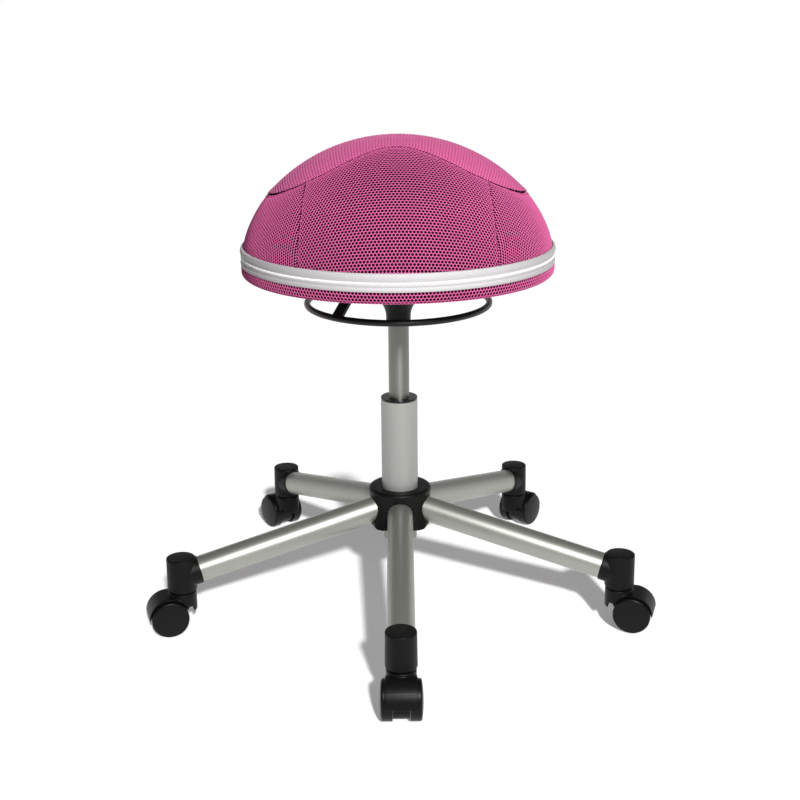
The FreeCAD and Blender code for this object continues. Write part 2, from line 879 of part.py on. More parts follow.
# Seat pan: a moulded disc under the ball, pierced for the screws and for the ball's plug
pan_disc = turned(
    "pan_disc",
    [
        ("0", "pan_bottom"),
        ("pan_radius - pan_edge", "pan_bottom"),
        ("pan_radius", "pan_bottom + pan_edge", "pan_edge"),
        ("pan_radius", "pan_top"),
        ("0", "pan_top"),
    ],
)
pan_depth = "pan_top - pan_bottom + seat_gap * 2"
below_pan = "pan_bottom - seat_gap"
pan_holes = [cylinder("plug_access", "plug_access", pan_depth, x="plug_circle", z=below_pan)]
for number in range(SCREW_COUNT):
    pan_holes.append(
        cylinder(
            f"pan_hole_{number + 1}",
            "screw_radius + press_clearance",
            "screw_grip + seat_gap * 2",
            z=below_pan,
            **screw_place(number),
        )
    )
piece(cut("seat_pan", pan_disc, fuse("pan_holes", *pan_holes)), "seat_pan")

# Heights of the dome's sections, as shares of the way from the cover's lower edge to the apex.
# They lie closer together at the crown's soft corner and towards the apex. The outline is drawn for
# a dome of the dome height, and stretches with the seat's apex.
DOME_LEVELS = (0.07, 0.2, 0.33, 0.42, 0.475, 0.53, 0.62, 0.74, 0.85, 0.93, 0.975, 0.997)


def crown_half_width(drop):
    """Half the seat's width, from its silhouette: a round crown over fuller, steeper sides."""
    crown = value("crown_radius")
    corner = value("crown_corner")
    corner_drop = crown - math.sqrt(crown**2 - corner**2)
    if drop <= corner_drop:
        return math.sqrt(2 * crown * drop - drop**2)
    way = (drop - corner_drop) / (value("dome_height") - corner_drop)
    return corner + (value("cover_edge_radius") - corner) * (1 - (1 - way) ** value("side_fullness"))


def crown_half_depth(drop):
    """Half the seat's depth: one arc from the apex down to the cover's edge."""
    edge, height = value("cover_edge_radius"), value("dome_height")
    radius = (edge**2 + height**2) / (2 * height)
    return math.sqrt(2 * radius * drop - drop**2)


def oval(half_width, half_depth, height):
    """A closed section of four arcs."""
    slant = math.sqrt(0.5)
    edges = []
    for across, along in ((1, 1), (-1, 1), (-1, -1), (1, -1)):
        side = Vector(across * half_width, 0, height)
        end = Vector(0, along * half_depth, height)
        middle = Vector(across * half_width * slant, along * half_depth * slant, height)
        first, last = (side, end) if across == along else (end, side)
        edges.append(Part.Arc(first, middle, last).toShape())
    return Part.Wire(edges)


def dome(inset, bottom):
    """The seat's form as one solid, set in by the inset, on a round foot that starts at the bottom."""
    edge = value("cover_edge")
    height = value("seat_apex") - edge
    rim = value("cover_edge_radius") - inset
    sections = [oval(rim, rim, edge)]
    if bottom < edge:
        foot = rim - value("foot_draw")
        sections.insert(0, oval(foot, foot, bottom))
    for level in DOME_LEVELS:
        drop = value("dome_height") * (1 - level)
        middle = edge + level * (height - inset)
        sections.append(oval(crown_half_width(drop) - inset, crown_half_depth(drop) - inset, middle))
    return Part.makeLoft(sections, True, False)


def shaped(name, shape):
    item = doc.addObject("Part::Feature", name)
    item.Shape = shape
    item.Placement = Placement()
    return item


# Half ball: air-filled rubber, closed below by its own floor, which is bored for the plug
ball_inset = value("cover_thickness + seat_gap")
ball_bottom = value("pan_top + seat_gap")
ball_inside = shaped("ball_inside", dome(ball_inset + value("ball_wall"), ball_bottom + value("ball_wall")))
ball_skin = cut("ball_skin", shaped("ball_outside", dome(ball_inset, ball_bottom)), ball_inside)
plug_fit = "plug_radius + press_clearance"
plug_bore = cylinder("plug_bore", plug_fit, "ball_wall * 3", x="plug_circle", z="pan_top")
piece(cut("half_ball", ball_skin, plug_bore), "half_ball")

# Air plug: pressed into the ball's floor from below, through the pan's access hole
plug_seat = "(pan_top + seat_gap)"
air_plug = turned(
    "air_plug",
    [
        ("0", f"{plug_seat} - plug_head"),
        ("plug_head_radius", f"{plug_seat} - plug_head"),
        ("plug_head_radius", plug_seat),
        ("plug_radius", plug_seat),
        ("plug_radius", f"{plug_seat} + plug_grip"),
        ("0", f"{plug_seat} + plug_grip"),
    ],
)
piece(place(air_plug, x="plug_circle"), "air_plug")

# Cover dome: the upper half of the mesh cover, sewn to one side of the zip
cover_form = shaped("cover_form", dome(0, value("cover_edge")))
cover_hollow = shaped("cover_hollow", dome(value("cover_thickness"), ball_bottom))
piece(cut("cover_dome", cover_form, cover_hollow), "cover_dome")

# Cover skirt: the lower half of the cover, drawn in under the pan's edge to a hem
skirt_inner = "(skirt_radius - skirt_thickness)"
skirt_floor = "(skirt_low + skirt_thickness)"
round_inner = "(skirt_round - skirt_thickness)"
cover_skirt = turned(
    "cover_skirt",
    [
        ("skirt_hem_radius", "skirt_low"),
        ("skirt_radius - skirt_round", "skirt_low"),
        ("skirt_radius", "skirt_low + skirt_round", "skirt_round"),
        ("skirt_radius", "skirt_shoulder"),
        ("skirt_top_radius", "skirt_shoulder + skirt_step"),
        ("skirt_top_radius", "skirt_top"),
        ("skirt_top_radius - skirt_thickness", "skirt_top"),
        ("skirt_top_radius - skirt_thickness", "skirt_shoulder + skirt_step - skirt_thickness / 2"),
        (skirt_inner, "skirt_shoulder - skirt_thickness / 2"),
        (skirt_inner, "skirt_low + skirt_round"),
        ("skirt_radius - skirt_round", skirt_floor, "-" + round_inner),
        ("skirt_hem_radius", skirt_floor),
    ],
)
piece(cover_skirt, "cover_skirt")

# Zip tapes: two woven bands sewn to the dome's edge and to the skirt
coil_edge = "(coil_radius + coil_gap)"


def zip_tape(name, low, high, low_lean, high_lean):
    inner_low = f"(tape_radius - {low_lean})"
    inner_high = f"(tape_radius - {high_lean})"
    return turned(
        name,
        [
            (inner_low, low),
            (f"{inner_low} + tape_thickness", low),
            (f"{inner_high} + tape_thickness", high),
            (inner_high, high),
        ],
    )


upper_lean = "tape_lean * dome_height / (seat_apex - cover_edge)"
upper_tape = zip_tape("upper_tape", f"coil_height + {coil_edge}", "tape_top", "0", upper_lean)
lower_tape = zip_tape("lower_tape", "tape_bottom", f"coil_height - {coil_edge}", "tape_lean / -4", "0")
piece(group("zip_tapes", upper_tape, lower_tape), "zip_tapes")

# Zip coil: the closed row of coil teeth between the tapes
coil_circle = "(tape_radius + tape_thickness * 0.8)"
zip_coil = bind(doc.addObject("Part::Torus", "zip_coil"), Radius1=coil_circle, Radius2="coil_radius")
piece(place(zip_coil, z="coil_height"), "zip_coil")

# Zip slider: a curved plate that runs on the coil, parked at the back, with a lug for its pull
slider_face = f"({coil_circle} + coil_radius + seat_gap)"
slider_outer = f"({slider_face} + slider_thickness)"
slider_plate = turned(
    "slider_plate",
    [
        (slider_face, "coil_height - slider_height / 2"),
        (slider_outer, "coil_height - slider_height / 2"),
        (slider_outer, "coil_height + slider_height / 2"),
        (slider_face, "coil_height + slider_height / 2"),
    ],
    angle="slider_angle",
)
place(slider_plate, turn=about_z(90 - value("slider_angle") / 2))
lug_height = "(coil_height + slider_height / 4)"
lug_radius = f"({slider_outer} + lug_reach)"
lug_half = "lug_post + lug_pin_radius"


def lug_post(name, start):
    return box(
        name,
        "lug_post",
        f"lug_reach + {lug_half} + seat_gap",
        f"({lug_half}) * 2",
        x=start,
        y=f"{slider_outer} - seat_gap",
        z=f"{lug_height} - ({lug_half})",
    )


lug_pin = cylinder(
    "lug_pin",
    "lug_pin_radius",
    "lug_width",
    x="-lug_width / 2",
    y=lug_radius,
    z=lug_height,
    turn=Rotation(Y_AXIS, 90),
)
zip_slider = fuse(
    "zip_slider",
    slider_plate,
    lug_pin,
    lug_post("lug_post_left", "-lug_width / 2"),
    lug_post("lug_post_right", "lug_width / 2 - lug_post"),
)
piece(zip_slider, "zip_slider")

# Zip pull: a flat tab with an eye on the slider's lug, hanging free
eye_place = {"x": "-pull_width / 2", "y": lug_radius, "z": lug_height, "turn": Rotation(Y_AXIS, 90)}
pull_eye = cylinder("pull_eye", "pull_eye_radius", "pull_width", **eye_place)
pull_tab = box(
    "pull_tab",
    "pull_width",
    "pull_thickness",
    "pull_length",
    x="-pull_width / 2",
    y=f"{lug_radius} - pull_thickness / 2",
    z=f"{lug_height} - pull_length",
)
pull_bore = cylinder("pull_bore", "lug_pin_radius + run_clearance", "pull_width", **eye_place)
piece(cut("zip_pull", fuse("pull_solid", pull_eye, pull_tab), pull_bore), "zip_pull")

doc.recompute()

# Nothing is written unless every object was made and every piece is a sound solid
faults = [item.Label for item in doc.Objects if {"Invalid", "Error"} & set(item.State)]
for item in pieces:
    if item.Shape.isNull() or not item.Shape.isValid() or not item.Shape.Solids:
        faults.append(item.Label)
if faults:
    raise RuntimeError("not built: " + ", ".join(sorted(set(faults))))

os.makedirs("parts", exist_ok=True)
for item in pieces:
    item.Shape.exportStep(f"parts/{item.Label}.step")
    print(f"{item.Label}: {len(item.Shape.Solids)} solids, {item.Shape.Volume / 1000:.2f} cm3")
print(f"{len(pieces)} pieces")
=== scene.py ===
import bpy
import json
import math
import numpy as np
from mathutils import Matrix, Vector

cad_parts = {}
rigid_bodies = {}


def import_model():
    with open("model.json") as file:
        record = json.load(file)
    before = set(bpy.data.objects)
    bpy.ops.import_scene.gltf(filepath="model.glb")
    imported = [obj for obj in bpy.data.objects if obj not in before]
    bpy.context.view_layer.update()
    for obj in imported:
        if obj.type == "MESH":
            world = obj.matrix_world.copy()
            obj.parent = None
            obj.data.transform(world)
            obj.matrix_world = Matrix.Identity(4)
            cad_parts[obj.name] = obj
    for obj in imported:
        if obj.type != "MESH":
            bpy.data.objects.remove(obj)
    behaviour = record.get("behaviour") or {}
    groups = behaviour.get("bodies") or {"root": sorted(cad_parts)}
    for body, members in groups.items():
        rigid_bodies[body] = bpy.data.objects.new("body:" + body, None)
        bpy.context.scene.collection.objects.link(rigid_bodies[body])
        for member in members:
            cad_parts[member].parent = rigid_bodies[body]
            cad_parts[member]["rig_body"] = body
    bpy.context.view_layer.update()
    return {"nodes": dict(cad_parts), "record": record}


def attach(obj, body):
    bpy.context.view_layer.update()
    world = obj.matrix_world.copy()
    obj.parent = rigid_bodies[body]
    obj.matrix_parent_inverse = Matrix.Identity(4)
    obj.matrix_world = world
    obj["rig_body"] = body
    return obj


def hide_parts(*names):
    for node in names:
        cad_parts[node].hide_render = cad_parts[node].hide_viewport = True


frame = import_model()


# Base arms: round steel tubes in silver-grey metallic paint, welded to the hub core. The paint is
# satin, with fine flake and a slight orange peel, and the core is bare turned steel inside the hub.
nodes = frame["nodes"]
NUMBERS = range(1, 6)
ARM_SILVER = (0.415, 0.427, 0.386, 1)
BARE_STEEL = (0.46, 0.46, 0.46, 1)
COLOUR, VALUE, VECTOR = "NodeSocketColor", "NodeSocketFloat", "NodeSocketVector"


def new_effect(name, inputs):
    """A shader node group that gives a colour, a roughness and a normal, with its input and output."""
    group = bpy.data.node_groups.new(name, "ShaderNodeTree")
    for socket, (kind, value) in inputs.items():
        group.interface.new_socket(socket, in_out="INPUT", socket_type=kind).default_value = value
    for socket, kind in (("Colour", COLOUR), ("Roughness", VALUE), ("Normal", VECTOR)):
        group.interface.new_socket(socket, in_out="OUTPUT", socket_type=kind)
    return group, group.nodes.new("NodeGroupInput"), group.nodes.new("NodeGroupOutput")


def add_node(tree, kind, values=None, **settings):
    """A node with its settings, and with values in its sockets."""
    node = tree.nodes.new(kind)
    for name, setting in settings.items():
        setattr(node, name, setting)
    for socket, value in (values or {}).items():
        node.inputs[socket].default_value = value
    return node


def link(tree, source, output, target, socket):
    """Joins an output of one node to a socket of another."""
    tree.links.new(source.outputs[output], target.inputs[socket])


def feed(tree, value, target, socket):
    """Puts a value, or what a (node, output) pair gives, into a socket."""
    if isinstance(value, tuple) and isinstance(value[0], bpy.types.Node):
        link(tree, *value, target, socket)
    else:
        target.inputs[socket].default_value = value


def noise_at(tree, coordinates, scale, detail):
    """Noise in the object's own space. The scale is a number or a (node, output) pair."""
    noise = add_node(tree, "ShaderNodeTexNoise", {"Detail": detail})
    link(tree, coordinates, "Object", noise, "Vector")
    feed(tree, scale, noise, "Scale")
    return noise


def toned(tree, source, value):
    """An effect's colour, made lighter or darker."""
    tone = add_node(tree, "ShaderNodeHueSaturation", {"Value": value})
    link(tree, source, "Colour", tone, "Color")
    return tone


def colour_mix(tree, factor, first, second):
    """A mix of two colours, at output 2. Each input is a value or a (node, output) pair."""
    mix = add_node(tree, "ShaderNodeMix", data_type="RGBA")
    for socket, value in ((0, factor), (6, first), (7, second)):
        feed(tree, value, mix, socket)
    return mix


def spread(tree, source, output, low, high):
    """A value from 0 to 1 spread over a new range."""
    ramp = add_node(tree, "ShaderNodeMapRange", {"To Min": low, "To Max": high})
    link(tree, source, output, ramp, "Value")
    return ramp


def give_out(tree, result, colour, rough, bump):
    """Sends a mixed colour, a (node, output) pair of roughness and a bump out of an effect."""
    link(tree, colour, 2, result, "Colour")
    link(tree, *rough, result, "Roughness")
    link(tree, bump, "Normal", result, "Normal")


metal_paint, given, result = new_effect(
    "metal_paint",
    {"Colour": (COLOUR, (0.5, 0.5, 0.5, 1)), "Flake Scale": (VALUE, 2600.0), "Peel": (VALUE, 0.12)},
)
coordinates = add_node(metal_paint, "ShaderNodeTexCoord")
flake = noise_at(metal_paint, coordinates, (given, "Flake Scale"), 1.0)
cloud = noise_at(metal_paint, coordinates, 22.0, 3.0)
peel = noise_at(metal_paint, coordinates, 420.0, 2.0)
darker = toned(metal_paint, given, 0.84)
flaked = colour_mix(metal_paint, (flake, "Fac"), (darker, "Color"), (given, "Colour"))
rough = spread(metal_paint, cloud, "Fac", 0.38, 0.48)
bump = add_node(metal_paint, "ShaderNodeBump", {"Distance": 0.0004})
link(metal_paint, given, "Peel", bump, "Strength")
link(metal_paint, peel, "Fac", bump, "Height")
give_out(metal_paint, result, flaked, (rough, "Result"), bump)


def new_material(name, effect, settings, shader_values):
    """A material whose colour, roughness and normal come from an effect group."""
    made = bpy.data.materials.new(name)
    made.use_nodes = True
    tree = made.node_tree
    shader = tree.nodes["Principled BSDF"]
    for socket, value in shader_values.items():
        shader.inputs[socket].default_value = value
    source = add_node(tree, "ShaderNodeGroup", settings, node_tree=effect)
    link(tree, source, "Colour", shader, "Base Color")
    link(tree, source, "Roughness", shader, "Roughness")
    link(tree, source, "Normal", shader, "Normal")
    return made


def dress(names, finish):
    """Gives CAD nodes a finish."""
    for name in names:
        nodes[name].material_slots[0].material = finish


arm_silver = new_material(
    "arm_silver",
    metal_paint,
    {"Colour": ARM_SILVER},
    {"Metallic": 0.75, "Coat Weight": 0.1, "Coat Roughness": 0.25},
)
dress([f"base_arm_{number}" for number in NUMBERS], arm_silver)

turned_steel, given, result = new_effect(
    "turned_steel", {"Colour": (COLOUR, (0.5, 0.5, 0.5, 1)), "Line Scale": (VALUE, 2400.0)}
)
coordinates = add_node(turned_steel, "ShaderNodeTexCoord")
stretch = add_node(turned_steel, "ShaderNodeMapping", {"Scale": (0.05, 0.05, 1.0)})
link(turned_steel, coordinates, "Object", stretch, "Vector")
lines = add_node(turned_steel, "ShaderNodeTexNoise", {"Detail": 2.0})
link(turned_steel, stretch, "Vector", lines, "Vector")
link(turned_steel, given, "Line Scale", lines, "Scale")
darker = toned(turned_steel, given, 0.8)
lined = colour_mix(turned_steel, (lines, "Fac"), (darker, "Color"), (given, "Colour"))
rough = spread(turned_steel, lines, "Fac", 0.40, 0.52)
bump = add_node(turned_steel, "ShaderNodeBump", {"Strength": 0.08, "Distance": 0.0002})
link(turned_steel, lines, "Fac", bump, "Height")
give_out(turned_steel, result, lined, (rough, "Result"), bump)

bare_steel = new_material("bare_steel", turned_steel, {"Colour": BARE_STEEL}, {"Metallic": 1.0})
dress(["hub_core"], bare_steel)


# Hub cover: one black moulding that hides the welded star. It has five flat sides, an arch over
# each arm and a round top rim, with soft moulded edges.
MOULDED_BLACK = (0.004, 0.004, 0.0037, 1)
node_body = {
    node: body for body, held in frame["record"]["behaviour"]["bodies"].items() for node in held
}

moulded_grain, given, result = new_effect(
    "moulded_grain",
    {
        "Colour": (COLOUR, (0.02, 0.02, 0.02, 1)),
        "Grain Scale": (VALUE, 1500.0),
        "Grain": (VALUE, 0.25),
        "Roughness": (VALUE, 0.45),
    },
)
coordinates = add_node(moulded_grain, "ShaderNodeTexCoord")
grain = noise_at(moulded_grain, coordinates, (given, "Grain Scale"), 3.0)
cloud = noise_at(moulded_grain, coordinates, 30.0, 3.0)
geometry = add_node(moulded_grain, "ShaderNodeNewGeometry")
edges = add_node(
    moulded_grain, "ShaderNodeMapRange", {"From Min": 0.53, "From Max": 0.62, "To Max": 0.5}
)
link(moulded_grain, geometry, "Pointiness", edges, "Value")
worn = toned(moulded_grain, given, 2.2)
clouded = toned(moulded_grain, given, 1.25)
body_colour = colour_mix(moulded_grain, (cloud, "Fac"), (given, "Colour"), (clouded, "Color"))
edge_colour = colour_mix(moulded_grain, (edges, "Result"), (body_colour, 2), (worn, "Color"))
vary = spread(moulded_grain, grain, "Fac", -0.06, 0.06)
rough = add_node(moulded_grain, "ShaderNodeMath", operation="ADD")
link(moulded_grain, given, "Roughness", rough, 0)
link(moulded_grain, vary, "Result", rough, 1)
bump = add_node(moulded_grain, "ShaderNodeBump", {"Distance": 0.0002})
link(moulded_grain, given, "Grain", bump, "Strength")
link(moulded_grain, grain, "Fac", bump, "Height")
give_out(moulded_grain, result, edge_colour, (rough, 0), bump)

black_plastic = new_material(
    "black_plastic", moulded_grain, {"Colour": MOULDED_BLACK}, {"Specular IOR Level": 0.15}
)


def new_piece(name, mesh, body, finish, slot, *replaced):
    """A piece of the visual model on a body, with the CAD nodes that it stands for."""
    piece = bpy.data.objects.new(name, mesh)
    bpy.context.scene.collection.objects.link(piece)
    mesh.materials.append(finish)
    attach(piece, body)
    if replaced:
        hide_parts(*replaced)
    return piece


def softened(node, finish, slot, voxel, smoothing, keep):
    """A moulding made from a CAD node, with its sharp edges rounded off as a mould leaves them.

    It is rebuilt from voxels, smoothed a number of times and thinned to a share of its faces.
    """
    rough_cut = bpy.data.objects.new("rough_cut", nodes[node].data.copy())
    bpy.context.scene.collection.objects.link(rough_cut)
    remesh = rough_cut.modifiers.new("remesh", "REMESH")
    remesh.mode = "VOXEL"
    remesh.voxel_size = voxel
    smooth = rough_cut.modifiers.new("smooth", "SMOOTH")
    smooth.iterations = smoothing
    thin = rough_cut.modifiers.new("thin", "DECIMATE")
    thin.ratio = keep
    graph = bpy.context.evaluated_depsgraph_get()
    mesh = bpy.data.meshes.new_from_object(rough_cut.evaluated_get(graph))
    bpy.data.objects.remove(rough_cut)
    mesh.materials.clear()
    mesh.shade_smooth()
    return new_piece(node + "_moulding", mesh, node_body[node], finish, slot, node)


softened("hub_cover", black_plastic, "black_plastic", voxel=0.0009, smoothing=5, keep=0.25)


# Caster holders: black moulded sockets with a flat round top, one pressed on the end of each arm.
# The stem of a caster turns in each.
for number in NUMBERS:
    holder = f"caster_holder_{number}"
    softened(holder, black_plastic, "black_plastic", voxel=0.0008, smoothing=3, keep=0.2)


# Casters: each has a satin black hood with a canopy and a skirt, two domed wheels on a steel axle
# and a steel stem that turns in the holder.
CASTER_BLACK = (0.004, 0.004, 0.004, 1)
caster_plastic = new_material(
    "caster_plastic",
    moulded_grain,
    {"Colour": CASTER_BLACK, "Roughness": 0.42},
    {"Specular IOR Level": 0.14},
)
wheel_plastic = new_material(
    "wheel_plastic",
    moulded_grain,
    {"Colour": CASTER_BLACK, "Roughness": 0.36, "Grain": 0.12},
    {"Specular IOR Level": 0.17},
)
for number in NUMBERS:
    hood = f"caster_hood_{number}"
    softened(hood, caster_plastic, "caster_plastic", voxel=0.0008, smoothing=4, keep=0.2)
    dress([f"caster_stem_{number}", f"caster_axle_{number}"], bare_steel)
    dress([f"wheel_{number}_left", f"wheel_{number}_right"], wheel_plastic)


# Gas lift: a silver-painted column with a glossy black collar on top, and the ground steel cylinder
# that rises out of it. The rod, the piston and the thrust bearing are inside.
COLUMN_SILVER = (0.405, 0.411, 0.384, 1)
COLLAR_BLACK = (0.008, 0.008, 0.008, 1)
CYLINDER_GREY = (0.265, 0.272, 0.243, 1)
BRIGHT_STEEL = (0.7, 0.7, 0.7, 1)
column_silver = new_material(
    "column_silver",
    metal_paint,
    {"Colour": COLUMN_SILVER},
    {"Metallic": 0.35, "Coat Weight": 0.1, "Coat Roughness": 0.3},
)
dress(["column_tube"], column_silver)
collar_black = new_material(
    "collar_black",
    moulded_grain,
    {"Colour": COLLAR_BLACK, "Roughness": 0.14, "Grain": 0.02},
    {"Specular IOR Level": 0.2, "Coat Weight": 0.35, "Coat Roughness": 0.04},
)
dress(["guide_bush"], collar_black)
cylinder_grey = new_material(
    "cylinder_grey",
    turned_steel,
    {"Colour": CYLINDER_GREY},
    {"Metallic": 0.95, "Anisotropic": 0.5, "Anisotropic Rotation": 0.25},
)
dress(["gas_cylinder"], cylinder_grey)
bright_steel = new_material("bright_steel", turned_steel, {"Colour": BRIGHT_STEEL}, {"Metallic": 1.0})
dress(["piston_rod", "valve_pin", "bearing_balls", "lever_pin"], bright_steel)
dress(["bearing_race_lower", "bearing_race_upper", "rod_clip", "piston", "seat_screws"], bare_steel)


# Seat mount and ring lever: a black moulded cup under the seat, and the black powder-coated ring
# that is pulled up to release the lift.
LEVER_BLACK = (0.007, 0.007, 0.007, 1)
dress(["seat_mount"], black_plastic)
lever_black = new_material(
    "lever_black",
    moulded_grain,
    {"Colour": LEVER_BLACK, "Roughness": 0.38, "Grain": 0.3},
    {"Specular IOR Level": 0.3},
)
dress(["ring_lever"], lever_black)


# Seat pan, half ball and plug: a black moulded disc under an air-filled rubber half ball, which is
# stopped with a soft white plug. Only the pan's underside shows.
PAN_BLACK = (0.02, 0.02, 0.02, 1)
BALL_BLACK = (0.012, 0.009, 0.011, 1)
PLUG_WHITE = (0.8, 0.8, 0.78, 1)
pan_plastic = new_material("pan_plastic", moulded_grain, {"Colour": PAN_BLACK}, {})
ball_rubber = new_material(
    "ball_rubber", moulded_grain, {"Colour": BALL_BLACK, "Roughness": 0.7}, {"Specular IOR Level": 0.1}
)
plug_plastic = new_material("plug_plastic", moulded_grain, {"Colour": PLUG_WHITE}, {})
dress(["seat_pan"], pan_plastic)
half_ball = softened("half_ball", ball_rubber, "ball_rubber", voxel=0.0014, smoothing=2, keep=0.2)
dress(["air_plug"], plug_plastic)


# Cover dome: pink spacer mesh with open hexagon cells, cut in a waisted crown panel, a front and a
# back panel and two side panels. It is stretched over the ball, so the panels have no folds, and
# they draw in along the seams. The knitted back layer is coloured nearly black: painted shade for
# the hollows seen through the cells.
DOME_APEX, DOME_EDGE, DOME_RIM = 0.648, 0.498, 0.2029
CROWN_RADIUS, CROWN_CORNER, SIDE_FULLNESS = 0.228, 0.168, 1.7
DOME_CENTRE = np.array([0.0, 0.0, 0.436])
NEAREST, FURTHEST, LOWEST_AIM, HALVINGS = 0.10, 0.32, 0.1, 36
SEAM_TOP, SEAM_FOOT, SEAM_RUN_ON = np.array([0.113, 0.081]), np.array([0.122, 0.162]), 3
SEAM_DRAW, SEAM_WIDTH, RIB_SINK = 0.0020, 0.003, 0.0012
TUCK_START, TUCK_RUN, CROWN_DRAW, CROWN_TUCK, SIDE_TUCK = 0.13, 0.03, 0.2, 0.5, 0.4
BACK_DEPTH, BACK_DRAW = 0.0018, 0.0004
BACK_LOW, BACK_HIGH = math.radians(17.2), math.radians(89.5)
MESH_RADIUS = 0.212
CELL_WIDTH, ROW_PITCH = 0.0044, 0.0040
LATTICE_COLUMNS, LATTICE_ROWS = np.arange(-60, 61), np.arange(-64, 90)
YARN_PINK = (0.73, 0.137, 0.345, 1)
# Nearly black pink of the back layer and the cells' floors: painted shade for the hollows
BACK_SHADE_PINK = (0.018, 0.0026, 0.010, 1)
SHEEN_PINK = (1.0, 0.6, 0.85, 1)
TINY = 1e-9
# Half the crown's width in mm, front to back, at distances from its middle
CROWN_HALF = np.array(
    [
        (0, 59.5), (20, 63), (42, 72), (67, 81), (91, 85),
        (113, 81), (130, 73), (148, 56), (160, 34), (168, 0),
    ]
)
# Corners and side middles of a cell, in quarters of its width and sixths of the row pitch
HEX_LOOP = np.array(
    [
        (0, 4), (1, 3), (2, 2), (2, 0), (2, -2), (1, -3),
        (0, -4), (-1, -3), (-2, -2), (-2, 0), (-2, 2), (-1, 3),
    ]
)
# The lip and the hole of an open cell and of a rib's closed one: share of the cell, depth, and the
# darkness of painted shade on the yarn there
OPEN_CELL = ((0.84, 0.0003, 0.1), (0.74, 0.0012, 1.0))
RIB_CELL = ((0.62, 0.0003, 0.0), (0.40, 0.0009, 0.6))
# How much wider the open cells are near the top, and how far up the mesh faces where that starts
TOP_STRETCH, STRETCH_FROM, STRETCH_RUN = 0.10, 0.65, 0.29

# Yarn: pink fibres with random patches. Its colour is mixed toward the dark Shade colour by a mark of
# painted shade, which darkens the cells' lips and hole floors as if they were in shade
yarn, given, result = new_effect(
    "yarn",
    {
        "Colour": (COLOUR, YARN_PINK),
        "Shade": (COLOUR, BACK_SHADE_PINK),
        "Depth": (VALUE, 0.0),
        "Fibre Scale": (VALUE, 3200.0),
    },
)
coordinates = add_node(yarn, "ShaderNodeTexCoord")
fibres = noise_at(yarn, coordinates, (given, "Fibre Scale"), 3.0)
patches = noise_at(yarn, coordinates, 60.0, 2.0)
lighter = toned(yarn, given, 1.18)
darker = toned(yarn, given, 0.86)
fibre_colour = colour_mix(yarn, (fibres, "Fac"), (darker, "Color"), (lighter, "Color"))
patch_colour = colour_mix(yarn, (patches, "Fac"), (fibre_colour, 2), (given, "Colour"))
shaded_colour = colour_mix(yarn, (given, "Depth"), (patch_colour, 2), (given, "Shade"))
rough = spread(yarn, fibres, "Fac", 0.62, 0.82)
bump = add_node(yarn, "ShaderNodeBump", {"Strength": 0.5, "Distance": 0.0002})
link(yarn, fibres, "Fac", bump, "Height")
give_out(yarn, result, shaded_colour, (rough, "Result"), bump)

cover_mesh = new_material(
    "cover_mesh",
    yarn,
    {},
    {"Sheen Weight": 0.2, "Sheen Roughness": 0.4, "Sheen Tint": SHEEN_PINK, "Specular IOR Level": 0.1},
)
# The mesh's depth mark drives the yarn's painted shade
shade_mark = add_node(cover_mesh.node_tree, "ShaderNodeAttribute", attribute_name="depth")
yarn_node = next(node for node in cover_mesh.node_tree.nodes if node.type == "GROUP")
link(cover_mesh.node_tree, shade_mark, "Fac", yarn_node, "Depth")
# The back layer's nearly black colour is painted shade, so the cells look deep and shaded
cover_back = new_material(
    "cover_back", yarn, {"Colour": BACK_SHADE_PINK, "Shade": BACK_SHADE_PINK}, {"Specular IOR Level": 0.0}
)


def half_width(drop):
    """Half the seat's width at a depth below its apex: a round crown over fuller, steeper sides."""
    corner_drop = CROWN_RADIUS - math.sqrt(CROWN_RADIUS**2 - CROWN_CORNER**2)
    crown = np.sqrt(np.maximum(2 * CROWN_RADIUS * drop - drop**2, 0))
    way = np.clip((drop - corner_drop) / (DOME_APEX - DOME_EDGE - corner_drop), 0, 1)
    side = CROWN_CORNER + (DOME_RIM - CROWN_CORNER) * (1 - (1 - way) ** SIDE_FULLNESS)
    return np.where(drop <= corner_drop, crown, side)


def half_depth(drop):
    """Half the seat's depth: one arc from the apex to the edge."""
    height = DOME_APEX - DOME_EDGE
    radius = (DOME_RIM**2 + height**2) / (2 * height)
    return np.sqrt(2 * radius * drop - drop**2)


def beyond_dome(plan, drop):
    """Whether points in plan lie outside the seat at a depth below its apex."""
    return (plan[:, 0] / half_width(drop)) ** 2 + (plan[:, 1] / half_depth(drop)) ** 2 > 1


def on_dome(directions):
    """Where rays from the dome's centre meet the cover."""
    near, far = np.full(len(directions), NEAREST), np.full(len(directions), FURTHEST)
    for step in range(HALVINGS):
        middle = (near + far) / 2
        points = DOME_CENTRE + directions * middle[:, None]
        drop = np.clip(DOME_APEX - points[:, 2], TINY, DOME_APEX - DOME_EDGE)
        outside = beyond_dome(points, drop)
        near, far = np.where(outside, near, middle), np.where(outside, middle, far)
    return points


def lift(plan):
    """Points on the cover over points in plan."""
    low, high = np.full(len(plan), TINY), np.full(len(plan), DOME_APEX - DOME_EDGE)
    for step in range(HALVINGS):
        drop = (low + high) / 2
        outside = beyond_dome(plan, drop)
        low, high = np.where(outside, drop, low), np.where(outside, high, drop)
    return np.column_stack([plan, DOME_APEX - drop])


def outward(points):
    """The direction out of the cover, near enough, at points on it."""
    away = points - DOME_CENTRE
    return away / np.linalg.norm(away, axis=1)[:, None]


def smooth_line(points, steps):
    """A line through points in plan, rounded between them."""
    padded = np.vstack([points[:1], points, points[-1:]])
    line = []
    for before, start, end, after in zip(padded, padded[1:], padded[2:], padded[3:]):
        for way in np.arange(steps) / steps:
            pull = (
                (-before + 3 * start - 3 * end + after) * way**3
                + (2 * before - 5 * start + 4 * end - after) * way**2
                + (end - before) * way
            )
            line.append(start + pull / 2)
    return np.array(line + [padded[-1]])


def closed(outline):
    """An outline with its first point again at its end."""
    return np.vstack([outline, outline[:1]])


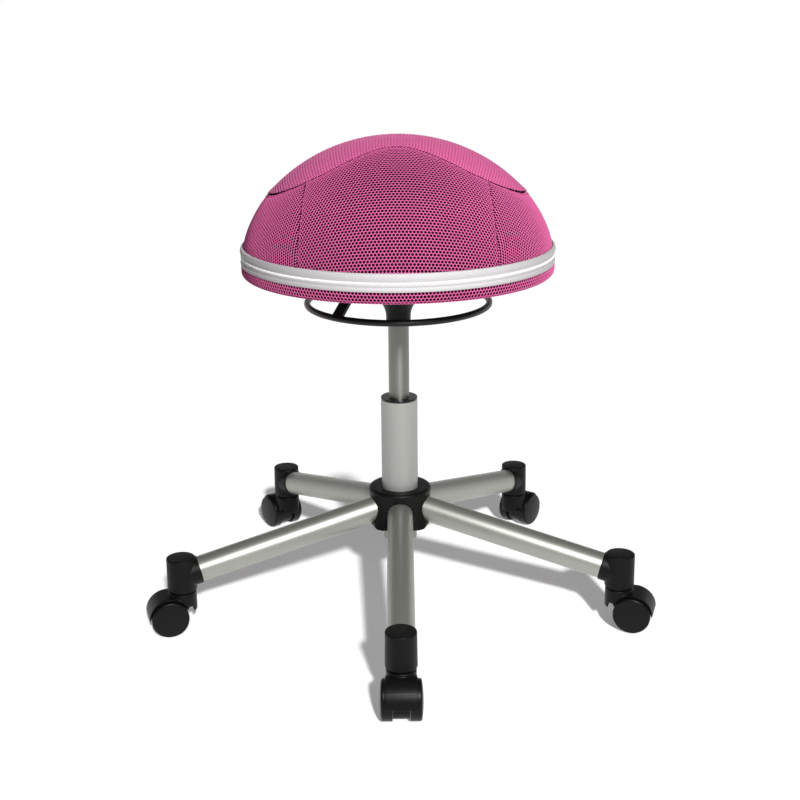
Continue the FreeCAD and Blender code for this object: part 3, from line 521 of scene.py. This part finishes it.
crown_quarter = smooth_line(CROWN_HALF / 1000, 6)
mirror = np.array([1, -1])
right_half = np.vstack([crown_quarter * mirror, crown_quarter[::-1][1:]])
crown_outline = np.vstack([right_half, right_half[::-1] * [-1, 1]])
seam_end = SEAM_FOOT + (SEAM_FOOT - SEAM_TOP) * SEAM_RUN_ON
between_seams = np.abs(crown_outline[:, 0]) <= SEAM_TOP[0] + 1e-6
front_top = crown_outline[between_seams & (crown_outline[:, 1] < 0)]
front_top = front_top[np.argsort(front_top[:, 0])]
front_outline = np.vstack([front_top, [seam_end * mirror], [-seam_end]])
side_top = right_half[right_half[:, 0] >= SEAM_TOP[0] - 1e-6]
far_corner = np.array([1.0, 1.0])
side_outline = np.vstack(
    [side_top, [seam_end], [far_corner], [far_corner * mirror], [seam_end * mirror]]
)
quarters = [np.array([across, along]) for across in (1, -1) for along in (1, -1)]
seam_lines = [closed(crown_outline)] + [np.array([SEAM_TOP, seam_end]) * quarter for quarter in quarters]


def nearest_on(line, points):
    """For each point in plan, its nearest point on a line, and how far away that is."""
    start, step = line[:-1], np.diff(line, axis=0)
    length = np.maximum((step**2).sum(1), 1e-15)
    way = np.clip(((points[:, None] - start) * step).sum(2) / length, 0, 1)
    found = start + way[..., None] * step
    gap = np.linalg.norm(points[:, None] - found, axis=2)
    best = gap.argmin(1)
    every = np.arange(len(points))
    return found[every, best], gap[every, best]


def seam_gap(plan):
    """How far points in plan are from the nearest seam."""
    return np.min([nearest_on(line, plan)[1] for line in seam_lines], axis=0)


def inside(outline, points):
    """Whether points in plan lie within a closed outline."""
    hit = np.zeros(len(points), bool)
    for start, end in zip(outline, np.roll(outline, -1, axis=0)):
        spans = (start[1] > points[:, 1]) != (end[1] > points[:, 1])
        rise = end[1] - start[1] or 1e-15
        crossing = (end[0] - start[0]) * (points[:, 1] - start[1]) / rise + start[0]
        hit ^= spans & (points[:, 0] < crossing)
    return hit


def lattice(columns, rows):
    """Cells in staggered rows, each a loop of places in quarters of a width and sixths of a pitch."""
    columns, rows = np.meshgrid(columns, rows)
    middles = np.column_stack([(4 * columns + 2 * (rows % 2)).ravel(), (6 * rows).ravel()])
    return middles[:, None] + HEX_LOOP


def honeycomb(name, cells, corners, normals, lip, hole, stretch=0.0):
    """A mesh of open cells: rounded ridges of yarn round each cell, and walls going in.

    The stretch is how much wider a cell's hole is where the mesh faces up.
    """
    centres = corners[cells].mean(1)[:, None]
    middle_normals = normals[cells].mean(1)[:, None]
    reach = corners[cells] - centres
    span = np.linalg.norm(reach, axis=2, keepdims=True)
    rounded = reach * (0.5 + 0.5 * span.mean(1, keepdims=True) / np.maximum(span, TINY))
    rounded *= 1 + stretch * np.clip((middle_normals[:, :, 2:] - STRETCH_FROM) / STRETCH_RUN, 0, 1)
    lips = centres + rounded * lip[0] - middle_normals * lip[1]
    floors = centres + rounded * hole[0] - middle_normals * hole[1]
    count, inner = len(corners), cells.size
    lip_index = count + np.arange(inner).reshape(cells.shape)
    floor_index = lip_index + inner

    def strips(outer, inner_loop):
        return np.stack([outer, np.roll(outer, -1, 1), np.roll(inner_loop, -1, 1), inner_loop], 2)

    ridges = strips(cells, lip_index)
    faces = np.concatenate([ridges, strips(lip_index, floor_index)]).reshape(-1, 4)
    points = np.vstack([corners, lips.reshape(-1, 3), floors.reshape(-1, 3)])
    first, second, third = points[ridges[0, 0, :3]]
    if np.dot(np.cross(second - first, third - first), middle_normals[0, 0]) < 0:
        faces = faces[:, ::-1]
    mesh = bpy.data.meshes.new(name)
    mesh.from_pydata(points.tolist(), [], faces.tolist())
    # The depth mark is painted shade: none on the ridges, some on the lips and most on the hole floors
    mark = mesh.attributes.new("depth", "FLOAT", "POINT")
    mark.data.foreach_set("value", np.repeat([0.0, lip[2], hole[2]], [count, inner, inner]))
    mesh.shade_smooth()
    return mesh


def cover_panel(name, aim, outline, ribbed=False):
    """A panel of mesh: a lattice of cells laid over the dome, trimmed to the panel's outline.

    A ribbed panel's columns run front to back, with the yarn between the cells of a column sunk.
    """
    cells = lattice(LATTICE_COLUMNS, LATTICE_ROWS)
    units, index = np.unique(cells.reshape(-1, 2), axis=0, return_inverse=True)
    index = index.reshape(cells.shape[:2])
    along = units * [CELL_WIDTH / 4, ROW_PITCH / 6] / MESH_RADIUS
    directions = aim(along[:, 1], along[:, 0]) if ribbed else aim(along[:, 0], along[:, 1])
    upright = directions[:, 2] > LOWEST_AIM
    points = np.zeros((len(units), 3))
    points[upright] = on_dome(directions[upright])
    held = np.zeros(len(units), bool)
    held[upright] = inside(outline, points[upright][:, :2]) & (points[upright][:, 2] > DOME_EDGE)
    index = index[held[index].any(1) & upright[index].all(1)]
    used, index = np.unique(index, return_inverse=True)
    index = index.reshape(-1, len(HEX_LOOP))
    points, units = points[used], units[used]
    beyond = ~inside(outline, points[:, :2])
    points[beyond] = lift(nearest_on(closed(outline), points[beyond][:, :2])[0])
    low = (points[:, 2] <= DOME_EDGE) | (np.hypot(points[:, 0], points[:, 1]) > DOME_RIM)
    turn = np.arctan2(points[low, 1], points[low, 0])
    points[low] = np.column_stack(
        [DOME_RIM * np.cos(turn), DOME_RIM * np.sin(turn), np.full(low.sum(), DOME_EDGE)]
    )
    normals = outward(points)
    draw = SEAM_DRAW * np.exp(-seam_gap(points[:, :2]) / SEAM_WIDTH)
    tuck = np.clip((np.abs(points[:, 0]) - TUCK_START) / TUCK_RUN, 0, 1)
    if ribbed:
        draw *= CROWN_DRAW - tuck * CROWN_TUCK
        draw += np.where(units[:, 1] % 6 == 0, RIB_SINK, 0)
    else:
        draw *= 1 + tuck * SIDE_TUCK
    points -= normals * draw[:, None]
    lip, hole, stretch = (*RIB_CELL, 0.0) if ribbed else (*OPEN_CELL, TOP_STRETCH)
    mesh = honeycomb(name, index, points, normals, lip, hole, stretch)
    return new_piece(name, mesh, "seat", cover_mesh, "cover_mesh", "cover_dome")


def aim_front(across, up):
    """Directions from the dome's centre, at angles across and up from the front."""
    return np.column_stack([np.sin(across), -np.cos(across) * np.cos(up), np.cos(across) * np.sin(up)])


def aim_back(across, up):
    return aim_front(across, up) * [-1, -1, 1]


def aim_right(across, up):
    """Directions from the dome's centre, at angles across and up from the right."""
    return np.column_stack([np.cos(across) * np.cos(up), np.sin(across), np.cos(across) * np.sin(up)])


def aim_left(across, up):
    return aim_right(across, up) * [-1, -1, 1]


def aim_crown(across, along):
    """Directions from the dome's centre, at angles across and along from straight up."""
    return np.column_stack(
        [np.cos(along) * np.sin(across), np.sin(along), np.cos(along) * np.cos(across)]
    )


panels = [
    cover_panel("cover_crown", aim_crown, crown_outline, ribbed=True),
    cover_panel("cover_front", aim_front, front_outline),
    cover_panel("cover_back", aim_back, -front_outline),
    cover_panel("cover_right", aim_right, side_outline),
    cover_panel("cover_left", aim_left, -side_outline),
]


def grid_mesh(name, points):
    """A smooth mesh over rows of points, each row a closed ring."""
    rows, columns = points.shape[:2]
    index = np.arange(rows * columns).reshape(rows, columns)
    following = np.roll(index, -1, axis=1)
    faces = np.stack([index[:-1], following[:-1], following[1:], index[1:]], 2)
    mesh = bpy.data.meshes.new(name)
    mesh.from_pydata(points.reshape(-1, 3).tolist(), [], faces.reshape(-1, 4).tolist())
    mesh.shade_smooth()
    return mesh


def full_turn(count):
    """Angles evenly spaced round a circle."""
    return np.linspace(0, 2 * math.pi, count, endpoint=False)


def ring_of(radius, height, turns):
    """Points round a level circle about Z."""
    return np.column_stack([radius * np.cos(turns), radius * np.sin(turns), np.full(len(turns), height)])


# Back layer just under the cells, in the nearly black material of painted shade
turns = full_turn(160)
rows = []
for up in np.linspace(BACK_LOW, BACK_HIGH, 60):
    points = on_dome(ring_of(math.cos(up), math.sin(up), turns))
    draw = BACK_DEPTH + BACK_DRAW * np.exp(-seam_gap(points[:, :2]) / SEAM_WIDTH)
    rows.append(points - outward(points) * draw[:, None])
back_mesh = grid_mesh("cover_back_layer", np.array(rows))
back_layer = new_piece("cover_back_layer", back_mesh, "seat", cover_back, "cover_mesh", "cover_dome")


# Cover seams: a lockstitch in pink thread runs beside each seam. The crown's stitches lie just
# outside it, on the panels below, and the short seams' on the front and back panels.
THREAD_PINK = (0.68, 0.13, 0.325, 1)
STITCH_RADIUS, STITCH_PITCH, STITCH_SHARE, STITCH_SINK = 0.00032, 0.0042, 0.62, 0.0005
CROWN_STITCH_GAP, SEAM_STITCH_GAP = 0.0032, 0.0026
STITCH_RUN_ON, RIM_MARGIN = 0.25, 0.001
# A stitch's arch: the way along it, and the rise in thread widths
STITCH_ARCH = ((0, -0.6), (0.2, 0.5), (0.8, 0.5), (1, -0.6))
thread = new_material("thread", yarn, {"Colour": THREAD_PINK}, {"Specular IOR Level": 0.1})


def stitches(name, runs, radius, body, finish, slot):
    """Short arched stitches. Each run is a start, an end and the direction out of the cloth."""
    curve = bpy.data.curves.new(name, "CURVE")
    curve.dimensions = "3D"
    curve.bevel_depth = radius
    curve.bevel_resolution = 1
    for start, end, out in runs:
        spline = curve.splines.new("POLY")
        spline.points.add(len(STITCH_ARCH) - 1)
        for point, (way, rise) in zip(spline.points, STITCH_ARCH):
            place = start + (end - start) * way + out * rise * radius * 2
            point.co = (*place, 1)
    return new_piece(name, curve, body, finish, slot)


def along_line(points, pitch, share):
    """Starts and ends of stitches along a line of points in space."""
    steps = np.linalg.norm(np.diff(points, axis=0), axis=1)
    run = np.concatenate([[0], np.cumsum(steps)])
    starts = np.arange(pitch / 2, run[-1] - pitch, pitch)

    def at(where):
        return np.column_stack([np.interp(where, run, points[:, axis]) for axis in range(3)])

    return at(starts), at(starts + pitch * share)


def outline_normal(outline):
    """Directions out of a closed outline in plan that runs round to the left."""
    run = np.roll(outline, -1, axis=0) - np.roll(outline, 1, axis=0)
    run /= np.maximum(np.linalg.norm(run, axis=1), 1e-12)[:, None]
    return np.column_stack([run[:, 1], -run[:, 0]])


beside_crown = crown_outline + CROWN_STITCH_GAP * outline_normal(crown_outline)
beside_seam = np.linspace(SEAM_TOP, SEAM_FOOT + (SEAM_FOOT - SEAM_TOP) * STITCH_RUN_ON, 24)
stitch_lines = [closed(beside_crown)]
stitch_lines += [(beside_seam - [SEAM_STITCH_GAP, 0]) * quarter for quarter in quarters]
seam_runs = []
for line in stitch_lines:
    reach = np.hypot(line[:, 0], line[:, 1])
    starts, ends = along_line(lift(line[reach < DOME_RIM - RIM_MARGIN]), STITCH_PITCH, STITCH_SHARE)
    out = outward(starts)
    seam_runs += list(zip(starts - out * STITCH_SINK, ends - out * STITCH_SINK, out))
stitches("seam_stitches", seam_runs, STITCH_RADIUS, "seat", thread, "cover_mesh")


# Cover skirt: a band of the same mesh below the zip, drawn round the pan's edge and in under it to
# a rolled hem with a drawstring inside.
SKIRT_RADIUS, SKIRT_LOW, SKIRT_ROUND, SKIRT_TOP = 0.2053, 0.4711, 0.006, 0.4858
SKIRT_RUN, SKIRT_ROWS, SKIRT_BACK_DEPTH = 0.0545, np.arange(1, 15), 0.0017
HEM_RADIUS, HEM_HEIGHT, HEM_HALF_WIDTH, HEM_HALF_THICK = 0.163, 0.4716, 0.003, 0.0013


def skirt_points(turn, way):
    """Points and outward directions at turns about Z, a way down the skirt and in under it."""
    straight = SKIRT_TOP - SKIRT_LOW - SKIRT_ROUND
    bend = np.clip((way - straight) / SKIRT_ROUND, 0, math.pi / 2)
    under = np.maximum(way - straight - SKIRT_ROUND * math.pi / 2, 0)
    radius = SKIRT_RADIUS - SKIRT_ROUND * (1 - np.cos(bend)) - under
    height = SKIRT_TOP - np.minimum(way, straight) - SKIRT_ROUND * np.sin(bend)
    points = np.column_stack([radius * np.cos(turn), radius * np.sin(turn), height])
    normals = np.column_stack([np.cos(bend) * np.cos(turn), np.cos(bend) * np.sin(turn), -np.sin(bend)])
    return points, normals


around = round(2 * math.pi * SKIRT_RADIUS / CELL_WIDTH)
cells = lattice(np.arange(around), SKIRT_ROWS)
cells[..., 0] %= 4 * around
units, index = np.unique(cells.reshape(-1, 2), axis=0, return_inverse=True)
points, normals = skirt_points(units[:, 0] * math.pi / 2 / around, (units[:, 1] - 4) * ROW_PITCH / 6)
skirt_mesh = honeycomb("cover_skirt_mesh", index.reshape(cells.shape[:2]), points, normals, *OPEN_CELL)
skirt = new_piece("cover_skirt_mesh", skirt_mesh, "seat", cover_mesh, "cover_mesh", "cover_skirt")
# The skirt's back layer, also in the nearly black material of painted shade
rows = []
for way in np.linspace(0, SKIRT_RUN, 40):
    points, normals = skirt_points(turns, np.full(len(turns), way))
    rows.append(points - normals * SKIRT_BACK_DEPTH)
skirt_back_mesh = grid_mesh("cover_skirt_back", np.array(rows))
skirt_back = new_piece(
    "cover_skirt_back", skirt_back_mesh, "seat", cover_back, "cover_mesh", "cover_skirt"
)


def lathe(name, profile, segments):
    """A closed ring turned about Z from a closed profile of (radius, height)."""
    turns = full_turn(segments)
    rings = [ring_of(radius, height, turns) for radius, height in closed(profile)]
    return grid_mesh(name, np.array(rings))


round_angles = full_turn(16)
hem_profile = np.column_stack(
    [
        HEM_RADIUS + HEM_HALF_WIDTH * np.cos(round_angles),
        HEM_HEIGHT + HEM_HALF_THICK * np.sin(round_angles),
    ]
)
hem_mesh = lathe("cover_skirt_hem", hem_profile, 160)
hem = new_piece("cover_skirt_hem", hem_mesh, "seat", thread, "cover_mesh", "cover_skirt")


# Zip: two white woven tapes sewn over the cover's edges, with a closed coil between them. The
# upper tape rolls over at its sewn edge. The white slider and pull are parked at the back.
ZIP_RADIUS, ZIP_COIL = 0.2049, 0.497
TAPE_WHITE = (0.49, 0.476, 0.485, 1)
COIL_WHITE = (0.65, 0.637, 0.65, 1)
SLIDER_WHITE = (0.84, 0.84, 0.84, 1)
TAPE_THREAD_WHITE = (0.58, 0.56, 0.58, 1)
# The tapes' outer sides in mm, radius and height, from the top down, and their thickness
UPPER_TAPE = ((203.3, 508.5), (204.9, 507.8), (205.7, 505.0), (205.7, 501.5), (204.9, 498.2))
LOWER_TAPE = (
    (204.9, 495.8), (205.2, 493.6), (204.7, 492.2), (204.4, 491.8),
    (205.0, 491.2), (205.8, 489.2), (205.3, 486.2),
)
TAPE_THICK = 1.3
TOOTH_COUNT, TOOTH_LEAN, TOOTH_OFFSET = 860, math.radians(14), 0.0003
TOOTH_HALF_SIZE = (0.0008, 0.00052, 0.00118)
TAPE_STITCH_RADIUS, TAPE_STITCH_PITCH, TAPE_STITCH_SHARE = 0.00025, 0.003, 0.7
# Radius and height in mm of the stitches round each tape
TAPE_STITCHES = ((205.75, 503.6), (204.5, 491.8))


def maths(tree, operation, first, second=0.0):
    """A maths node on two inputs, each a number or a (node, output) pair."""
    made = add_node(tree, "ShaderNodeMath", operation=operation)
    feed(tree, first, made, 0)
    feed(tree, second, made, 1)
    return made


zip_weave, given, result = new_effect(
    "zip_weave",
    {"Colour": (COLOUR, TAPE_WHITE), "Rib Pitch": (VALUE, 0.0011), "Row Pitch": (VALUE, 0.0014)},
)
coordinates = add_node(zip_weave, "ShaderNodeTexCoord")
split = add_node(zip_weave, "ShaderNodeSeparateXYZ")
link(zip_weave, coordinates, "Object", split, "Vector")
turn = maths(zip_weave, "ARCTAN2", (split, "Y"), (split, "X"))
length = maths(zip_weave, "MULTIPLY", (turn, 0), 2 * math.pi * ZIP_RADIUS)
length_share = maths(zip_weave, "DIVIDE", (length, 0), (given, "Rib Pitch"))
height = maths(zip_weave, "MULTIPLY", (split, "Z"), 2 * math.pi)
height_share = maths(zip_weave, "DIVIDE", (height, 0), (given, "Row Pitch"))
ribs = maths(zip_weave, "SINE", (length_share, 0))
lines = maths(zip_weave, "SINE", (height_share, 0))
weave = maths(zip_weave, "ADD", (ribs, 0), (lines, 0))
weave_share = add_node(zip_weave, "ShaderNodeMapRange", {"From Min": -2.0, "From Max": 2.0})
link(zip_weave, weave, 0, weave_share, "Value")
dull = toned(zip_weave, given, 0.9)
woven = colour_mix(zip_weave, (weave_share, "Result"), (dull, "Color"), (given, "Colour"))
rough = spread(zip_weave, weave_share, "Result", 0.75, 0.6)
bump = add_node(zip_weave, "ShaderNodeBump", {"Strength": 0.5, "Distance": 0.0002})
link(zip_weave, weave_share, "Result", bump, "Height")
give_out(zip_weave, result, woven, (rough, "Result"), bump)

zip_tape = new_material("zip_tape", zip_weave, {}, {"Sheen Weight": 0.2})
zip_coil = new_material(
    "zip_coil", moulded_grain, {"Colour": COIL_WHITE, "Roughness": 0.4, "Grain": 0.05}, {}
)
zip_metal = new_material(
    "zip_metal", moulded_grain, {"Colour": SLIDER_WHITE, "Roughness": 0.3, "Grain": 0.05}, {}
)
dress(["zip_slider", "zip_pull"], zip_metal)

for name, outer in (("zip_upper_tape", UPPER_TAPE), ("zip_lower_tape", LOWER_TAPE)):
    line = smooth_line(np.array(outer) / 1000, 5)
    profile = np.vstack([line, (line - [TAPE_THICK / 1000, 0])[::-1]])
    new_piece(name, lathe(name, profile, 320), "seat", zip_tape, "zip_tape", "zip_tapes")

box_corners = np.array([(x, y, z) for x in (-1, 1) for y in (-1, 1) for z in (-1, 1)], float)
box_faces = np.array(
    [(0, 1, 3, 2), (4, 6, 7, 5), (0, 4, 5, 1), (2, 3, 7, 6), (0, 2, 6, 4), (1, 5, 7, 3)]
)
tooth = box_corners * TOOTH_HALF_SIZE
points, faces = [], []
for number in range(TOOTH_COUNT):
    side = 1 if number % 2 else -1
    spin = Matrix.Rotation(2 * math.pi * number / TOOTH_COUNT, 3, "Z")
    lean = Matrix.Rotation(TOOTH_LEAN * side, 3, "X")
    shift = Vector((ZIP_RADIUS - TOOTH_OFFSET, 0, ZIP_COIL + TOOTH_OFFSET * side))
    faces += (box_faces + len(points)).tolist()
    points += [spin @ (lean @ Vector(corner) + shift) for corner in tooth]
tooth_mesh = bpy.data.meshes.new("zip_teeth")
tooth_mesh.from_pydata(points, [], faces)
new_piece("zip_teeth", tooth_mesh, "seat", zip_coil, "zip_coil", "zip_coil")

tape_thread = new_material("tape_thread", yarn, {"Colour": TAPE_THREAD_WHITE}, {"Sheen Weight": 0.2})
tape_runs = []
for radius, height in TAPE_STITCHES:
    ring = ring_of(radius / 1000, height / 1000, np.linspace(0, 2 * math.pi, 720))
    starts, ends = along_line(ring, TAPE_STITCH_PITCH, TAPE_STITCH_SHARE)
    out = starts * [1, 1, 0]
    tape_runs += list(zip(starts, ends, out / np.linalg.norm(out, axis=1)[:, None]))
stitches("zip_stitches", tape_runs, TAPE_STITCH_RADIUS, "seat", tape_thread, "zip_tape")


# Floor, light and camera: a white studio floor and a low white backdrop behind. The floor's colour
# for light bounced off it has painted shade that darkens further out. The key light comes from the
# front right, 32 degrees up, and only the base throws its shadow on the floor.
FLOOR_WHITE = (0.95, 0.95, 0.95, 1)
FLOOR_REACH, FLOOR_HEIGHT = 30, -0.0003
KEY_FROM = Vector((0.35, -1.55, 1.0))
BACK_FROM = Vector((-0.35, 1.0, 0.4))
KEY_PLACE = KEY_FROM * 0.8 + Vector((0, 0, 0.3))
BACK_PLACE = BACK_FROM * 1.5
FROM_ABOVE = Vector((0, 0, 1))
KEY_WATTS, BACK_WATTS, FLOOR_KEY, FLOOR_FILL = 26.0, 23.0, 4.6, 0.75
KEY_SIZE, BACK_SIZE = 0.3, 1.0
SUN_SPREAD = math.radians(3.5)
SEAT_BODIES = ("seat", "lever", "valve", "slider", "pull", "spindle")
ROOM_TINT = (1.0, 0.96, 1.0, 1)
ROOM_BRIGHTEST = Vector((0.2, -0.3, 0.93)).normalized()
CAMERA_PLACE = (0.00262, -1.6482, 0.8072)
CAMERA_PAN, CAMERA_TILT, CAMERA_ROLL = 0.0009, math.radians(72.625), math.radians(-0.522)


def mirrored(tree, ray):
    """A mask of the rays that come off metal or gloss, or through glass."""
    return maths(tree, "MAXIMUM", (ray, "Is Glossy Ray"), (ray, "Is Transmission Ray"))


floor_material = bpy.data.materials.new("floor_white")
floor_material.use_nodes = True
tree = floor_material.node_tree
floor_shader = tree.nodes["Principled BSDF"]
floor_shader.inputs["Roughness"].default_value = 0.9
floor_shader.inputs["Specular IOR Level"].default_value = 0.0
place = add_node(tree, "ShaderNodeNewGeometry")
distance = add_node(tree, "ShaderNodeVectorMath", operation="LENGTH")
link(tree, place, "Position", distance, 0)
# Painted shade: the floor's colour for light bounced off it darkens from 0.66 near the stool to 0.22
# further out
bounce_shade = add_node(
    tree, "ShaderNodeMapRange", {"From Min": 0.5, "From Max": 1.8, "To Min": 0.66, "To Max": 0.22}
)
link(tree, distance, "Value", bounce_shade, "Value")
ray = add_node(tree, "ShaderNodeLightPath")
shown = maths(tree, "MAXIMUM", (ray, "Is Camera Ray"), (mirrored(tree, ray), 0))
tone = colour_mix(tree, (shown, 0), (bounce_shade, "Result"), FLOOR_WHITE)
link(tree, tone, 2, floor_shader, "Base Color")
floor_corners = [
    (across * FLOOR_REACH, along * FLOOR_REACH, FLOOR_HEIGHT)
    for across, along in ((-1, -1), (1, -1), (1, 1), (-1, 1))
]
floor_mesh = bpy.data.meshes.new("floor")
floor_mesh.from_pydata(floor_corners, [], [(0, 1, 2, 3)])
floor_mesh.materials.append(floor_material)
floor = bpy.data.objects.new("floor", floor_mesh)
bpy.context.scene.collection.objects.link(floor)


def new_light(name, kind, origin, strength):
    """A lamp that shines from a direction."""
    lamp = bpy.data.lights.new(name, kind)
    lamp.energy = strength
    light = bpy.data.objects.new(name, lamp)
    light.rotation_euler = origin.to_track_quat("Z", "Y").to_euler()
    bpy.context.scene.collection.objects.link(light)
    return light


object_key = new_light("object_key", "AREA", KEY_FROM, KEY_WATTS)
object_key.data.shape = "DISK"
object_key.data.size = KEY_SIZE
object_key.location = KEY_PLACE
back_fill = new_light("back_fill", "AREA", BACK_FROM, BACK_WATTS)
back_fill.data.size = BACK_SIZE
back_fill.location = BACK_PLACE
back_fill.visible_glossy = False
floor_key = new_light("floor_key", "SUN", KEY_FROM, FLOOR_KEY)
floor_key.data.angle = SUN_SPREAD
floor_fill = new_light("floor_fill", "SUN", FROM_ABOVE, FLOOR_FILL)
floor_fill.data.angle = SUN_SPREAD

floor_only = bpy.data.collections.new("floor_only")
floor_only.objects.link(floor)
base_only = bpy.data.collections.new("base_only")
all_but_floor = bpy.data.collections.new("all_but_floor")
for piece in bpy.context.scene.collection.objects:
    if piece.type in ("MESH", "CURVE") and piece is not floor:
        all_but_floor.objects.link(piece)
        if piece.get("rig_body") not in SEAT_BODIES:
            base_only.objects.link(piece)
object_key.light_linking.receiver_collection = all_but_floor
back_fill.light_linking.receiver_collection = all_but_floor
floor_key.light_linking.receiver_collection = floor_only
floor_key.light_linking.blocker_collection = base_only
floor_fill.light_linking.receiver_collection = floor_only
floor_fill.light_linking.blocker_collection = floor_only

world = bpy.data.worlds.new("studio")
bpy.context.scene.world = world
world.use_nodes = True
tree = world.node_tree
ambient = tree.nodes["Background"]
ambient.inputs["Color"].default_value = ROOM_TINT
where = add_node(tree, "ShaderNodeTexCoord")
facing = add_node(tree, "ShaderNodeVectorMath", operation="DOT_PRODUCT")
facing.inputs[1].default_value = ROOM_BRIGHTEST
link(tree, where, "Generated", facing, 0)
glow = add_node(
    tree, "ShaderNodeMapRange", {"From Min": -0.1, "From Max": 1.0, "To Min": 0.031, "To Max": 0.123}
)
link(tree, facing, "Value", glow, "Value")
link(tree, glow, "Result", ambient, "Strength")
aim = add_node(tree, "ShaderNodeSeparateXYZ")
link(tree, where, "Generated", aim, 0)
behind = add_node(tree, "ShaderNodeMapRange", {"From Min": 0.1, "From Max": 0.4})
link(tree, aim, "Y", behind, "Value")
under_top = add_node(
    tree, "ShaderNodeMapRange", {"From Min": 0.15, "From Max": 0.35, "To Min": 1.0, "To Max": 0.0}
)
link(tree, aim, "Z", under_top, "Value")
backdrop = maths(tree, "MULTIPLY", (behind, "Result"), (under_top, "Result"))
ray = add_node(tree, "ShaderNodeLightPath")
in_mirror = maths(tree, "MULTIPLY", (mirrored(tree, ray), 0), (backdrop, 0))
shown = maths(tree, "MAXIMUM", (ray, "Is Camera Ray"), (in_mirror, 0))
white = add_node(tree, "ShaderNodeBackground", {"Color": (1, 1, 1, 1), "Strength": 1.0})
chosen = add_node(tree, "ShaderNodeMixShader")
link(tree, shown, 0, chosen, 0)
link(tree, ambient, 0, chosen, 1)
link(tree, white, 0, chosen, 2)
link(tree, chosen, 0, tree.nodes["World Output"], "Surface")

camera_data = bpy.data.cameras.new("camera")
camera_data.lens = 57.0
camera_data.sensor_width = 36.0
camera = bpy.data.objects.new("camera", camera_data)
camera.matrix_world = (
    Matrix.Translation(CAMERA_PLACE)
    @ Matrix.Rotation(CAMERA_PAN, 4, "Z")
    @ Matrix.Rotation(CAMERA_TILT, 4, "X")
    @ Matrix.Rotation(CAMERA_ROLL, 4, "Z")
)
bpy.context.scene.collection.objects.link(camera)
bpy.context.scene.camera = camera
bpy.context.scene.view_settings.view_transform = "Standard"
